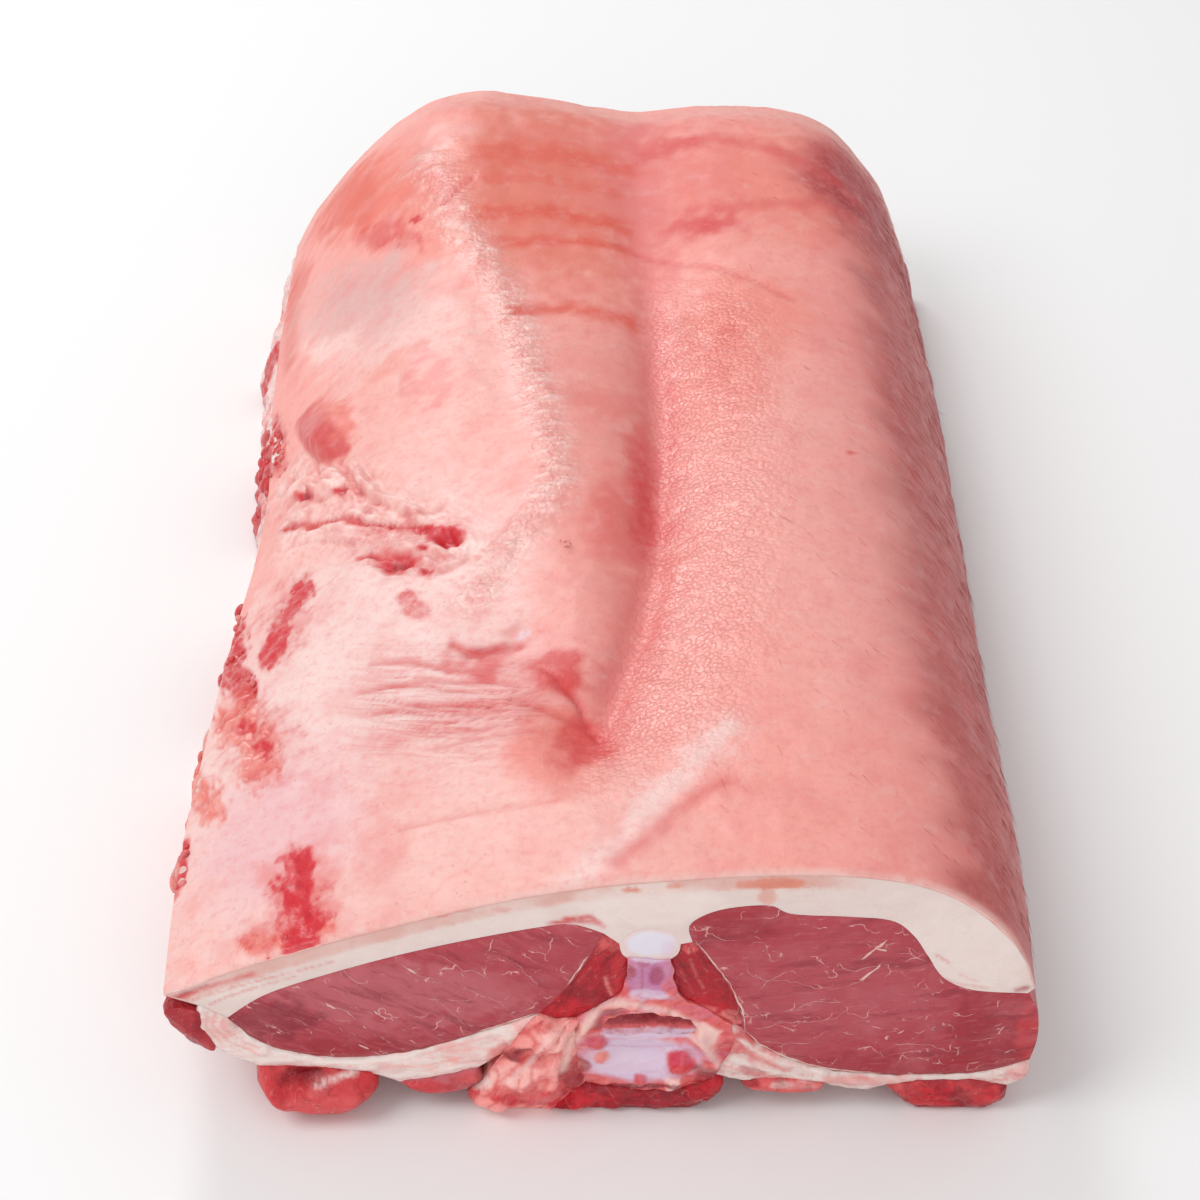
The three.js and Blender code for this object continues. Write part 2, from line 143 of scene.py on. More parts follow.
# Tones of the photo's daylight, as screen red, green and blue
tones = {
    "pink": (244, 163, 153), "pale": (242, 211, 206), "coolPink": (236, 186, 189),
    "warmPale": (240, 184, 175), "rose": (230, 126, 124), "mauve": (184, 80, 78),
    # rim is a painted reflection of light along the skin's right edge
    "darkMauve": (172, 44, 54), "rim": (206, 140, 145), "salmon": (236, 124, 106),
    "apricot": (222, 114, 92), "stripe": (220, 84, 62), "hollow": (214, 168, 164),
    "bulge": (230, 148, 138), "flush": (214, 66, 66), "vein": (206, 104, 122), "blood": (210, 30, 46),
    "deepRed": (132, 16, 32), "muscle": (208, 80, 80), "torn": (250, 214, 206), "rind": (222, 174, 164),
    "rindTop": (240, 196, 188), "stain": (220, 128, 104), "fat": (228, 208, 202),
    "whiteFat": (238, 222, 216), "eye": (176, 62, 74), "dustyEye": (192, 98, 106),
    "darkEye": (138, 38, 52), "redEye": (158, 38, 50), "brightMeat": (200, 26, 40),
    "darkMeat": (160, 26, 40), "spine": (128, 14, 28), "cartilage": (229, 223, 234),
    "stalk": (194, 124, 168), "stalkDark": (168, 60, 104), "lilac": (222, 200, 222),
    "arch": (240, 194, 184), "trim": (248, 152, 146), "paleTrim": (252, 208, 200),
    "lobe": (206, 56, 62), "lobePink": (224, 96, 96), "orangeMeat": (236, 128, 112),
    "hair": (172, 96, 94), "tuft": (70, 40, 38),
}


def smooth(t):
    t = np.clip(t, 0, 1)
    return t * t * (3 - 2 * t)


def bell(t):
    return np.exp(-t * t)


def above(value, start, over):    # from 0 to 1 as the value rises past the start
    return smooth((value - start) / over)


def below(value, end, over):    # from 1 to 0 as the value nears the end
    return smooth((end - value) / over)


def along(rows, position, column=1):    # a smooth value through rows that start with a position
    table = np.array(rows, float)
    at, value = table[:, 0], table[:, column]
    last = len(at) - 1
    before = np.maximum(np.arange(last + 1) - 1, 0)
    after = np.minimum(np.arange(last + 1) + 1, last)
    slope = (value[after] - value[before]) / (at[after] - at[before])
    p = np.clip(position, at[0], at[-1])
    i = np.clip(np.searchsorted(at, p) - 1, 0, last - 1)
    span = at[i + 1] - at[i]
    t = (p - at[i]) / span
    start = value[i] * (1 + 2 * t) * (1 - t) ** 2 + slope[i] * span * t * (1 - t) ** 2
    return start + value[i + 1] * t * t * (3 - 2 * t) + slope[i + 1] * span * t * t * (t - 1)


def lattice(cell, seed):    # a fixed number from 0 to 1 for each cell of a lattice
    n = cell[..., 0] * 73856093 ^ cell[..., 1] * 19349663 ^ cell[..., 2] * 83492791 ^ seed * 2654435
    n = (n ^ (n >> 13)) * 1274126177
    return ((n ^ (n >> 16)) & 65535) / 65535


def noise(points, size, seed):    # soft noise from about -1 to 1 in lumps of about that size
    p = points / size
    cell = np.floor(p).astype(np.int64)
    t = p - cell
    ease = t * t * t * (t * (t * 6 - 15) + 10)
    total = np.zeros(points.shape[:-1])
    for corner in np.ndindex(2, 2, 2):
        step = np.array(corner)
        weight = np.prod(np.where(step, ease, 1 - ease), axis=-1)
        if weight.any():
            pull = [(lattice(cell + step, seed + 101 * k) * 2 - 1) * (t - step)[..., k] for k in range(3)]
            total += weight * sum(pull)
    return total * 1.7


def rough(points, size, seed, layers=3):
    total = np.zeros(points.shape[:-1])
    for k in range(layers):
        total += noise(points, size / 2 ** k, seed + k) / 2 ** k
    return total


def pebbles(points, size, seed):    # distance to the nearest of scattered spots, in sizes
    p = points / size
    base = np.floor(p).astype(np.int64)
    nearest = np.full(points.shape[:-1], 9.0)
    for step in np.ndindex(3, 3, 3):
        cell = base + np.array(step) - 1
        spot = cell + 0.15 + 0.7 * np.stack([lattice(cell, seed + k) for k in range(3)], -1)
        nearest = np.minimum(nearest, np.linalg.norm(p - spot, axis=-1))
    return nearest


def flat(x, y):
    return np.stack([x, y, np.zeros_like(x)], -1)


def nearLine(x, y, line):    # distance to a line of points, its side, and the way along it in mm
    best = np.full(x.shape, 1e9)
    side = np.zeros(x.shape)
    way = np.zeros(x.shape)
    gone = 0.0
    for (ax, ay), (bx, by) in zip(line, line[1:]):
        dx, dy = bx - ax, by - ay
        run = math.hypot(dx, dy)
        t = np.clip(((x - ax) * dx + (y - ay) * dy) / run ** 2, 0, 1)
        offX, offY = x - ax - t * dx, y - ay - t * dy
        gap = np.hypot(offX, offY)
        closer = gap < best
        best = np.where(closer, gap, best)
        side = np.where(closer, np.sign(dx * offY - dy * offX), side)
        way = np.where(closer, gone + t * run, way)
        gone += run
    return best, side, way


def tone(name):    # a tone as linear light
    c = np.array(tones[name]) / 255
    return np.where(c < 0.04045, c / 12.92, ((c + 0.055) / 1.055) ** 2.4)


def tint(colour, weight, name):
    colour += weight[..., None] * (tone(name) - colour)


def skinRelief(x, y):
    line = along(furrow, y, 1)
    width = np.where(x < line, loin["furrowLeft"], loin["furrowRight"])
    height = -along(furrow, y, 2) * bell((x - line) / width)
    for cx, cy, rise, across, run in swells:
        height = height + rise * bell(np.hypot((x - cx) / across, (y - cy) / run))
    height = height - loin["farDrop"] * smooth((y - length) / loin["farDropOver"] + 1) ** 2
    return height * below(np.abs(x), edge, loin["reliefFade"])


def acrossAt(x, y):    # where x of the map lies at y
    push = np.zeros(np.broadcast(x, y).shape)
    for side, at, outwards, run in sways:
        push = push + np.where(np.sign(x) == side, side * outwards * bell((y - at) / run), 0)
    sway = push * smooth((np.abs(x) - loin["swayFrom"]) / (edge - loin["swayFrom"]))
    return x * (1 + loin["spread"] * smooth(y / loin["spreadOver"])) + sway


def heightRatio(x, y):
    return 1 + (along(farSkin, x) / along(shownSkin, x) - 1) * smooth(y / length)


def skinBase(x, y):
    z = along(shownSkin, x) * heightRatio(x, y) + skinRelief(x, y)
    return np.stack([acrossAt(x, y), y, z], -1)


def carry(x, z, y):    # a point of the cut, at distance y from it
    inside = np.clip(y, 0, length)
    height = z * heightRatio(x, inside)
    return np.stack([acrossAt(x, inside), y + np.zeros_like(x), np.maximum(height, 0)], -1)


def onMap(points):    # the x and z on the cut of points anywhere along the loin
    y = np.clip(points[:, 1], 0, length)
    x = points[:, 0] / (1 + loin["spread"] * smooth(y / loin["spreadOver"]))
    return x, points[:, 2] / heightRatio(x, y)


def toFrame(points):
    return (points - np.array([loin["middleX"], length / 2, 0])) / 1000


def makeObject(name, mesh, node=None):
    piece = bpy.data.objects.new(name, mesh)
    bpy.context.scene.collection.objects.link(piece)
    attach(piece, "root")
    if node:
        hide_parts(node)
    return piece


def paintMesh(mesh, colour):
    paint = mesh.color_attributes.new("paint", "FLOAT_COLOR", "POINT")
    opaque = np.concatenate([np.clip(colour, 0, 1), np.ones((len(colour), 1))], 1)
    paint.data.foreach_set("color", opaque.astype(np.float32).ravel())


def makePiece(name, points, faces, finish, colour, marks, node, sharpAt=60):
    mesh = bpy.data.meshes.new(name)
    mesh.from_pydata(toFrame(points).tolist(), [], faces)
    work = bmesh.new()
    work.from_mesh(mesh)
    bmesh.ops.recalc_face_normals(work, faces=work.faces)
    work.to_mesh(mesh)
    work.free()
    paintMesh(mesh, colour)
    for key, values in marks.items():
        layer = mesh.attributes.new(key, "FLOAT", "POINT")
        layer.data.foreach_set("value", np.asarray(values, np.float32))
    mesh.shade_smooth()
    mesh.set_sharp_from_angle(angle=math.radians(sharpAt))
    mesh.materials.append(finish)
    return makeObject(name, mesh, node)


# Small helpers for the finishes
def addNode(tree, kind, inputs=None, **settings):
    made = tree.nodes.new(kind)
    for key, value in settings.items():
        setattr(made, key, value)
    for key, value in (inputs or {}).items():
        if isinstance(value, bpy.types.NodeSocket):
            tree.links.new(value, made.inputs[key])
        else:
            made.inputs[key].default_value = value
    return made


def outOf(tree, kind, inputs=None, **settings):    # the first output of a new node
    return addNode(tree, kind, inputs, **settings).outputs[0]


def mixColours(tree, factor, colour, name):
    inputs = {0: factor, 6: colour, 7: (*tone(name), 1)}
    return addNode(tree, "ShaderNodeMix", inputs, data_type="RGBA").outputs[2]


def maths(tree, operation, first, second=0.0, third=0.0):
    inputs = {0: first, 1: second, 2: third}
    return outOf(tree, "ShaderNodeMath", inputs, operation=operation)


def times(tree, first, second):
    return maths(tree, "MULTIPLY", first, second)


def ramp(tree, value, low, high, toLow=0.0, toHigh=1.0):
    inputs = {"Value": value, "From Min": low, "From Max": high, "To Min": toLow, "To Max": toHigh}
    return outOf(tree, "ShaderNodeMapRange", inputs, interpolation_type="SMOOTHSTEP")


def speckle(tree, place, scale, detail=3, roughness=0.55):
    inputs = {"Vector": place, "Scale": scale, "Detail": detail, "Roughness": roughness}
    return outOf(tree, "ShaderNodeTexNoise", inputs)


def cellsOf(tree, place, scale):    # distance to the middle of irregular cells
    inputs = {"Vector": place, "Scale": scale}
    return addNode(tree, "ShaderNodeTexVoronoi", inputs).outputs["Distance"]


def web(tree, place, scale, width):    # thin lines between irregular cells
    inputs = {"Vector": place, "Scale": scale}
    cells = addNode(tree, "ShaderNodeTexVoronoi", inputs, feature="DISTANCE_TO_EDGE")
    return ramp(tree, cells.outputs[0], width, 0.0)


def bent(tree, place, scale, amount):    # the same place, pushed about by noise
    push = addNode(tree, "ShaderNodeTexNoise", {"Vector": place, "Scale": scale, "Detail": 3})
    inputs = {0: push.outputs["Color"], 1: (0.5, 0.5, 0.5)}
    push = addNode(tree, "ShaderNodeVectorMath", inputs, operation="SUBTRACT")
    push = addNode(tree, "ShaderNodeVectorMath", {0: push.outputs[0], "Scale": amount}, operation="SCALE")
    return outOf(tree, "ShaderNodeVectorMath", {0: place, 1: push.outputs[0]}, operation="ADD")


def grainOf(tree, place, turn, stretch, scale):    # noise drawn out along a turned line
    inputs = {"Vector": place, "Rotation": turn, "Scale": stretch}
    drawn = outOf(tree, "ShaderNodeMapping", inputs, vector_type="TEXTURE")
    return speckle(tree, drawn, scale, 4, 0.6)


def mark(tree, name, output="Fac"):
    return addNode(tree, "ShaderNodeAttribute", attribute_name=name).outputs[output]


def newFinish(name, settings):
    finish = bpy.data.materials.new(name)
    finish.use_nodes = True
    tree = finish.node_tree
    shader = tree.nodes["Principled BSDF"]
    shader.inputs["Subsurface Weight"].default_value = settings["soft"]
    shader.inputs["Subsurface Radius"].default_value = (1.0, 0.35, 0.25)
    shader.inputs["Subsurface Scale"].default_value = settings["softDepth"]
    shader.inputs["Specular IOR Level"].default_value = settings["gloss"]
    shader.inputs["Coat Weight"].default_value = settings["film"]
    shader.inputs["Coat Roughness"].default_value = 0.16
    place = addNode(tree, "ShaderNodeTexCoord").outputs["Object"]
    return finish, tree, shader, place


def setBump(tree, shader, height, strength, distance):
    bump = addNode(tree, "ShaderNodeBump", {"Height": height, "Strength": strength, "Distance": distance})
    tree.links.new(bump.outputs[0], shader.inputs["Normal"])


skinLook = {
    "soft": 0.1, "softDepth": 0.003, "gloss": 0.35, "film": 0.05,
    # scale, fineness, roughness, from, to, strength, tone
    "mottles": [
        (48, 7, 0.62, 0.45, 0.75, 0.4, "rose"),
        (110, 5, 0.6, 0.5, 0.85, 0.25, "pale"),
        (330, 4, 0.7, 0.44, 0.76, 0.42, "rose"),
    ],
    "levelDraw": 0.11,     # the level lines are drawn out across by this share
    # turn, stretch, scale
    "folds": ((0, 0, -0.77), (5, 1, 1), 300),
    "crinkles": ((0, 0, -0.2), (4, 1, 1), 480),
    "satin": (0.5, 0.62),  # roughness where it is dry
    "wetGain": 0.36,       # and how much less where it is wet
    "grain": 0.5, "fanDepth": 4.0, "foldDepth": 1.3, "crinkleDepth": 2.6,
    "bump": 0.6, "bumpDistance": 0.0006,
}


def skinFinish():
    finish, tree, shader, place = newFinish("moistPigskin", skinLook)
    colour = mark(tree, "paint", "Color")
    for scale, fineness, roughness, low, high, strength, name in skinLook["mottles"]:
        mottle = ramp(tree, speckle(tree, place, scale, fineness, roughness), low, high, 0, strength)
        colour = mixColours(tree, mottle, colour, name)
    # red specks on the left side, and fine level lines round the pucker
    across = outOf(tree, "ShaderNodeSeparateXYZ", {0: place})
    inputs = {"X": times(tree, across, skinLook["levelDraw"]), "Y": mark(tree, "level")}
    level = outOf(tree, "ShaderNodeCombineXYZ", inputs)
    lines = ramp(tree, speckle(tree, level, 560, 3, 0.6), 0.56, 0.72)
    lines = times(tree, lines, mark(tree, "fan"))
    dots = cellsOf(tree, place, 260)
    patchy = ramp(tree, speckle(tree, place, 90), 0.52, 0.6)
    dots = times(tree, times(tree, ramp(tree, dots, 0.2, 0.08), patchy), mark(tree, "speck"))
    broken = times(tree, maths(tree, "MAXIMUM", lines, dots), 0.35)
    colour = mixColours(tree, broken, colour, "vein")
    # pores between the pebbles
    pore = cellsOf(tree, place, 480)
    pits = times(tree, ramp(tree, pore, 0.3, 0.75), mark(tree, "pebble"))
    colour = mixColours(tree, times(tree, pits, 0.07), colour, "flush")
    # fine wrinkles that run to the pucker, folds of the tear and crinkles of the ridge
    wrinkles = speckle(tree, level, 400, 4, 0.6)
    valley = times(tree, ramp(tree, wrinkles, 0.5, 0.36), mark(tree, "fan"))
    colour = mixColours(tree, times(tree, valley, 0.4), colour, "flush")
    folds = grainOf(tree, place, *skinLook["folds"])
    valley = times(tree, ramp(tree, folds, 0.46, 0.34), mark(tree, "torn"))
    colour = mixColours(tree, times(tree, valley, 0.25), colour, "flush")
    crinkles = grainOf(tree, place, *skinLook["crinkles"])
    # blood in specks that close up where there is much of it
    drops = maths(tree, "SUBTRACT", speckle(tree, place, 210, 6, 0.68), 0.5)
    spilt = maths(tree, "MULTIPLY_ADD", mark(tree, "blood"), 0.9, times(tree, drops, 1.1))
    colour = mixColours(tree, ramp(tree, spilt, 0.2, 0.85, 0, 0.95), colour, "blood")
    colour = mixColours(tree, ramp(tree, spilt, 0.85, 1.15, 0, 0.5), colour, "deepRed")
    tree.links.new(colour, shader.inputs["Base Color"])
    # wet places shine, dry places are satin
    dry = ramp(tree, speckle(tree, place, 120, 4), 0.3, 0.7, *skinLook["satin"])
    dull = maths(tree, "SUBTRACT", dry, times(tree, mark(tree, "wet"), skinLook["wetGain"]))
    tree.links.new(dull, shader.inputs["Roughness"])
    grain = times(tree, speckle(tree, place, 650, 4, 0.65), skinLook["grain"])
    height = maths(tree, "SUBTRACT", grain, pits)
    added = [
        (wrinkles, "fan", "fanDepth"), (folds, "torn", "foldDepth"), (crinkles, "ridge", "crinkleDepth"),
    ]
    for lines, name, depth in added:
        gain = times(tree, mark(tree, name), skinLook[depth])
        height = maths(tree, "MULTIPLY_ADD", lines, gain, height)
    setBump(tree, shader, height, skinLook["bump"], skinLook["bumpDistance"])
    return finish


def fleshFinish(name, settings):
    finish, tree, shader, place = newFinish(name, settings)
    colour = mark(tree, "paint", "Color")
    wavy = bent(tree, place, 60, 0.006)
    turn = (0, math.radians(settings["grainTurn"]), 0)
    streak = grainOf(tree, wavy, turn, settings["grainStretch"], settings["grain"])
    fibre = grainOf(tree, wavy, turn, settings["grainStretch"], settings["grain"] * 2.6)
    blush = ramp(tree, speckle(tree, place, settings["mottle"], 5), 0.42, 0.72, 0, settings["mottleDepth"])
    colour = mixColours(tree, blush, colour, settings["mottleTone"])
    dark = ramp(tree, streak, 0.5, 0.68, 0, settings["grainDepth"])
    colour = mixColours(tree, dark, colour, settings["grainTone"])
    light = ramp(tree, fibre, 0.52, 0.7, 0, settings["grainDepth"] * 0.7)
    colour = mixColours(tree, light, colour, settings["mottleTone"])
    if settings["marbling"]:
        # thin broken fat between the bundles of muscle
        inputs = {"Vector": bent(tree, place, 70, 0.02), "Rotation": turn, "Scale": (2.2, 1, 1)}
        drawn = outOf(tree, "ShaderNodeMapping", inputs, vector_type="TEXTURE")
        lines = web(tree, drawn, 110, 0.022)
        lines = times(tree, lines, ramp(tree, speckle(tree, place, 170, 4), 0.5, 0.62))
        colour = mixColours(tree, times(tree, lines, settings["marbling"]), colour, "arch")
    if settings["layers"]:
        # sheets of fat and membrane that follow the outline
        depth = maths(tree, "MULTIPLY_ADD", speckle(tree, place, 70), 7.0, mark(tree, "depth"))
        wave = maths(tree, "SINE", times(tree, depth, 2.6))
        broken = ramp(tree, speckle(tree, place, 110), 0.42, 0.62)
        sheets = times(tree, ramp(tree, wave, 0.6, 1.0, 0, settings["layers"]), broken)
        colour = mixColours(tree, sheets, colour, settings["layerTone"])
    tree.links.new(colour, shader.inputs["Base Color"])
    film = ramp(tree, speckle(tree, place, 160, 4), 0.3, 0.7, settings["wettest"], settings["driest"])
    tree.links.new(film, shader.inputs["Roughness"])
    setBump(tree, shader, maths(tree, "ADD", fibre, streak), settings["bump"], 0.0009)
    return finish


def hairFinish():
    settings = {"soft": 0, "softDepth": 0.001, "gloss": 0.4, "film": 0}
    finish, tree, shader, place = newFinish("fineBristle", settings)
    shifted = ramp(tree, speckle(tree, place, 40), 0.35, 0.65, 0, 0.5)
    colour = mixColours(tree, shifted, mark(tree, "paint", "Color"), "mauve")
    tree.links.new(colour, shader.inputs["Base Color"])
    shader.inputs["Roughness"].default_value = 0.5
    return finish


fleshBase = {
    "soft": 0.1, "softDepth": 0.002, "gloss": 0.3, "film": 0.08, "grainTurn": 0, "grainStretch": (1, 1, 1),
    "mottle": 70, "mottleDepth": 0.5, "mottleTone": "eye", "grain": 240, "grainDepth": 0.6,
    "grainTone": "darkEye", "marbling": 0, "layers": 0, "layerTone": "arch",
    "wettest": 0.24, "driest": 0.46, "bump": 0.5,
}
darkBase = fleshBase | {
    "mottleTone": "brightMeat", "mottleDepth": 0.35, "grainTone": "spine", "grainDepth": 0.7, "marbling": 0.3,
    "grainStretch": (4, 1, 1), "wettest": 0.16, "driest": 0.38, "bump": 0.8,
}
finishes = {
    "skin": skinFinish(),
    "hair": hairFinish(),
    "fat": fleshFinish("creamBackFat", fleshBase | {
        "mottleTone": "whiteFat", "mottle": 40, "grain": 90, "grainStretch": (4, 1, 1), "grainDepth": 0.12,
        "grainTone": "rind", "layers": 0.06, "bump": 0.2, "soft": 0.15,
    }),
    "eyeLeft": fleshFinish("loinMeatLeft", fleshBase | {
        "mottleTone": "dustyEye", "grainTurn": 27, "grainStretch": (7, 1, 1), "marbling": 0.7,
    }),
    "eyeRight": fleshFinish("loinMeatRight", fleshBase | {
        "mottleTone": "dustyEye", "grainTurn": -9, "grainStretch": (7, 1, 1), "marbling": 0.7,
    }),
    "darkLeft": fleshFinish("darkMeatLeft", darkBase | {"grainTurn": -60}),
    "darkRight": fleshFinish("darkMeatRight", darkBase | {"grainTurn": 55}),
    "darkFoot": fleshFinish("darkMeatFoot", darkBase | {"grainTurn": 12}),
    "cartilage": fleshFinish("wetCartilage", fleshBase | {
        "mottleTone": "cartilage", "mottleDepth": 0.1, "grainTone": "lilac", "grainDepth": 0.08,
        "wettest": 0.12, "driest": 0.24, "bump": 0.06, "soft": 0.25, "gloss": 0.6,
    }),
    "bone": fleshFinish("sawnBone", fleshBase | {
        "mottleTone": "arch", "mottle": 130, "mottleDepth": 0.15, "grainTone": "stalk", "grain": 160,
        "grainTurn": 4, "grainStretch": (4, 1, 1), "grainDepth": 0.25, "wettest": 0.1, "driest": 0.3,
        "bump": 0.4, "gloss": 0.5,
    }),
    "lining": fleshFinish("whiteLining", fleshBase | {
        "mottleTone": "whiteFat", "grainTone": "lobePink", "grain": 150, "grainStretch": (7, 1, 1),
        "grainTurn": -6, "grainDepth": 0.2, "layers": 0.22, "layerTone": "trim", "wettest": 0.16,
        "driest": 0.38, "soft": 0.15,
    }),
    "red": fleshFinish("redMeat", fleshBase | {
        "mottleTone": "lobePink", "mottleDepth": 0.35, "grainTone": "deepRed", "grain": 200,
        "grainDepth": 0.4, "marbling": 0.15, "wettest": 0.16, "driest": 0.38, "bump": 0.5,
        "gloss": 0.32, "film": 0.04,
    }),
    "trim": fleshFinish("trimmings", fleshBase | {
        "mottleTone": "paleTrim", "mottleDepth": 0.25, "grainTone": "flush", "grain": 170, "grainDepth": 0.25,
        "grainTurn": -50, "grainStretch": (4, 1, 1), "wettest": 0.1, "driest": 0.3, "bump": 0.7, "gloss": 0.5,
    }),
}
print("finishes made:", len(finishes))

# The skin: relief and colour by named places, as x and y on the map
skin = {
    "columns": 290,
    "rows": 318,
    # x, share of the columns: the torn and wrinkled side has finer mesh than the plain right side
    "density": [(-edge, 1.7), (-50, 1.5), (-25, 1.0), (60, 0.9), (85, 0.55), (edge, 0.6)],
    # y, share of the rows
    "rowDensity": [(0, 0.75), (50, 0.9), (90, 1.15), (250, 1.15), (310, 0.9), (360, 0.5), (length, 0.5)],
    "firstRows": [0, 0.35, 0.8],    # y of the rows that round off the cut edge
    "samples": 3000,        # places looked at to space them
    "rind": 2.5,            # thickness at the cut
    "inside": 9,            # and away from it
    "thickOver": 16,
    "edgeShare": 0.2,       # share of the rind that is left at the sides
    "edgeOver": 12,
    "edgeRound": 1.2,
    "edgeRoundOver": 2.4,
    "wallRows": 3,
    "wallBulge": 0.25,
    "underStep": 12,
    "sharpAt": 70,
}
# heights and sizes in mm of what stands on the smooth skin
detail = {
    "wave": 0.5, "waveSize": 22, "ripple": 0.2, "rippleSize": 5, "groove": 2.4, "grooveHalf": 5,
    "ridge": 1.2, "ridgeHalf": 8, "crinkle": 0.9, "crinkleStep": 2.3, "crinkleAcross": 12,
    "ridgeGrain": 0.4, "wrinkle": 1.1, "strandHalf": 1.7, "strandMoat": 0.4,
    "rawLump": 3.0, "rawSize": 5, "rawWave": 2.0, "rawWaveSize": 7, "rawSink": 0.9,
    "pebble": 0.5, "pebbleSize": 3.2, "pebbleHalf": 0.42,
}
furrowLine = [(0, 69), (6, 99), (14, 132), (20, 174), (22, 225), (22, 279), (21, 352), (17, 432), (15, 493)]
ridgeLine = [
    (-44, 150), (-36, 170), (-25, 188), (-17, 206), (-17, 222), (-22, 259), (-29, 300), (-36, 337),
    (-48, 372), (-61, 408), (-76, 453),
]
tear = {
    "line": [
        (-129, 249), (-113, 231), (-98, 224), (-88, 216), (-79, 211), (-68, 204.5), (-57.5, 192.6),
        (-50.6, 181),
    ],
    "reach": 15,
    # way along it, half width
    "widths": [
        (0, 0.3), (12, 1.7), (28, 1.8), (38, 1.1), (46, 2.4), (54, 0.9), (66, 0.9), (78, 2.2), (90, 4.2),
        (100, 3.8), (106, 0.8),
    ],
    "depth": 1.2,
    "fold": 2.2, "foldLength": 18, "foldWidth": 4.6, "foldSink": 0.5, "lump": 0.5, "lumpSize": 5,
}
# wrinkles that run to the pucker: length and width of the coarse and the fine ones
fan = {"x": -50, "y": 95, "half": 27, "coarse": (45, 5.5), "fine": (26, 3.0)}
tuft = {"x": -14, "y": 173, "half": 1.3}    # dark hairs on the left
# muscle that bulges through: steep along its near edge, soft above
muscle = {
    "x": -118, "y": 281, "turn": -39, "middle": -1, "half": 17, "steep": 8, "soft": 20, "height": 3.5,
    "moat": 0.9,
}
# lumps of fat over the far end of the tear
folds = {
    "line": [(-130, 286), (-117, 260), (-106, 249), (-94, 235)], "reach": 11,
    "height": 4.0, "size": 10, "sink": 0.6,
}
# strands of fat that stand up along the tear
strands = [
    [(-128, 284), (-113, 269), (-100, 247)], [(-129, 269), (-113, 252), (-98, 236)],
    [(-97, 257), (-89, 235), (-73, 218), (-58, 203)], [(-94, 247), (-84, 227), (-66, 212)],
    [(-127, 237), (-103, 218), (-90, 210)], [(-71, 175), (-60, 168), (-49, 172)], [(-122, 262), (-110, 246)],
    [(-88, 224), (-78, 217), (-66, 209)], [(-92, 206), (-80, 196), (-68, 190), (-54, 176)],
]
# line, depth, half width, reddening
creases = [
    ([(-51, 131), (-42, 125.2), (-35.6, 126), (-27.6, 124)], 1.0, 1.4, 0.75),
    ([(-14.5, 99.7), (-6.5, 91.3), (-3.1, 82.5), (-0.3, 77.8)], 1.3, 1.4, 0.6),
    ([(-30.6, 93.3), (-15, 86.1), (-4.7, 83.3)], 1.1, 1.1, 0.5),
    ([(-20, 107), (-11, 99), (-5.5, 89)], 0.8, 1.0, 0.4), ([(-116, 274), (-109, 250)], 1.5, 1.3, 0.3),
    ([(-103, 259.6), (-95.6, 241), (-89.6, 227)], 1.5, 1.3, 0.35),
    ([(-117, 247), (-107, 240), (-98, 238)], 1.4, 1.3, 0.3),
    ([(-96, 240), (-84, 224), (-73, 213), (-58, 208)], 1.2, 1.2, 0.2),
    ([(-90, 196), (-76, 188), (-64, 180), (-50, 174)], 1.2, 1.4, 0.4),
    ([(-84, 186), (-70, 176), (-56, 168), (-44, 172)], 1.0, 1.3, 0.3),
    ([(-52, 433), (-58, 424), (-64, 413)], 0.9, 1.1, 0.6),
    ([(8, 389), (24, 381), (40, 371), (58, 356), (75, 339)], 0.7, 1.3, 0.4),
    ([(-66, 42), (-39, 41.5), (-13, 40)], 0.25, 1.0, 0.3),
    ([(-83, 117), (-58, 115), (-42, 108), (-27, 98)], 0.8, 1.0, 0.5),
    ([(-80, 130), (-66, 127), (-55, 121)], 0.7, 1.0, 0.5),
    ([(-78, 104), (-65, 103), (-48, 97), (-34, 90)], 0.7, 1.0, 0.45),
]
# x, y, half width, half height as seen from the front, depth
holes = [
    (-73, 179.5, 6.5, 5.5, 3.2), (-54, 187, 4.5, 4.5, 3.0), (-61, 168.7, 2, 1.6, 1.2),
    (-63, 183, 1.7, 1.3, 1.0), (-118, 255, 4.5, 2.8, 2.2), (-99.8, 238.5, 3, 2.6, 1.6),
    (-83, 191, 5, 1.3, 1.0),
]
# line, half width, tone, strength, relief, blood: meat that shows through the fat
rawTrails = [
    ([(-111, 194), (-114, 186), (-117, 170), (-119, 158)], 6, "flush", 0.55, 0.5, 0.75),
    ([(-139, 194), (-136, 178), (-133, 160), (-128, 146)], 7, "lobe", 0.95, 1.0, 0.4),
    ([(-131, 136), (-125, 122), (-119, 110), (-116, 97)], 9, "orangeMeat", 0.75, 1.0, 0.35),
    ([(-138, 99), (-130, 85)], 6, "orangeMeat", 0.8, 0.9, 0.3),
    ([(-139, 70), (-139, 50)], 3, "blood", 0.9, 0.8, 0.4),
    ([(-138, 350), (-137, 318)], 6, "lobe", 0.9, 0.9, 0.2),
    ([(-97.5, 37), (-96.5, 20), (-93.5, 13), (-96.5, 1)], 7.5, "flush", 0.6, 0.3, 0.95),
    ([(-96, 3), (-105, 6), (-113, 8)], 3.5, "salmon", 0.7, 0, 0.45),
    ([(-92, 8), (-85, 3.6)], 2.5, "salmon", 0.7, 0, 0.4),
]
grainTrails = (1, 4, 5)    # those with loose grains on them
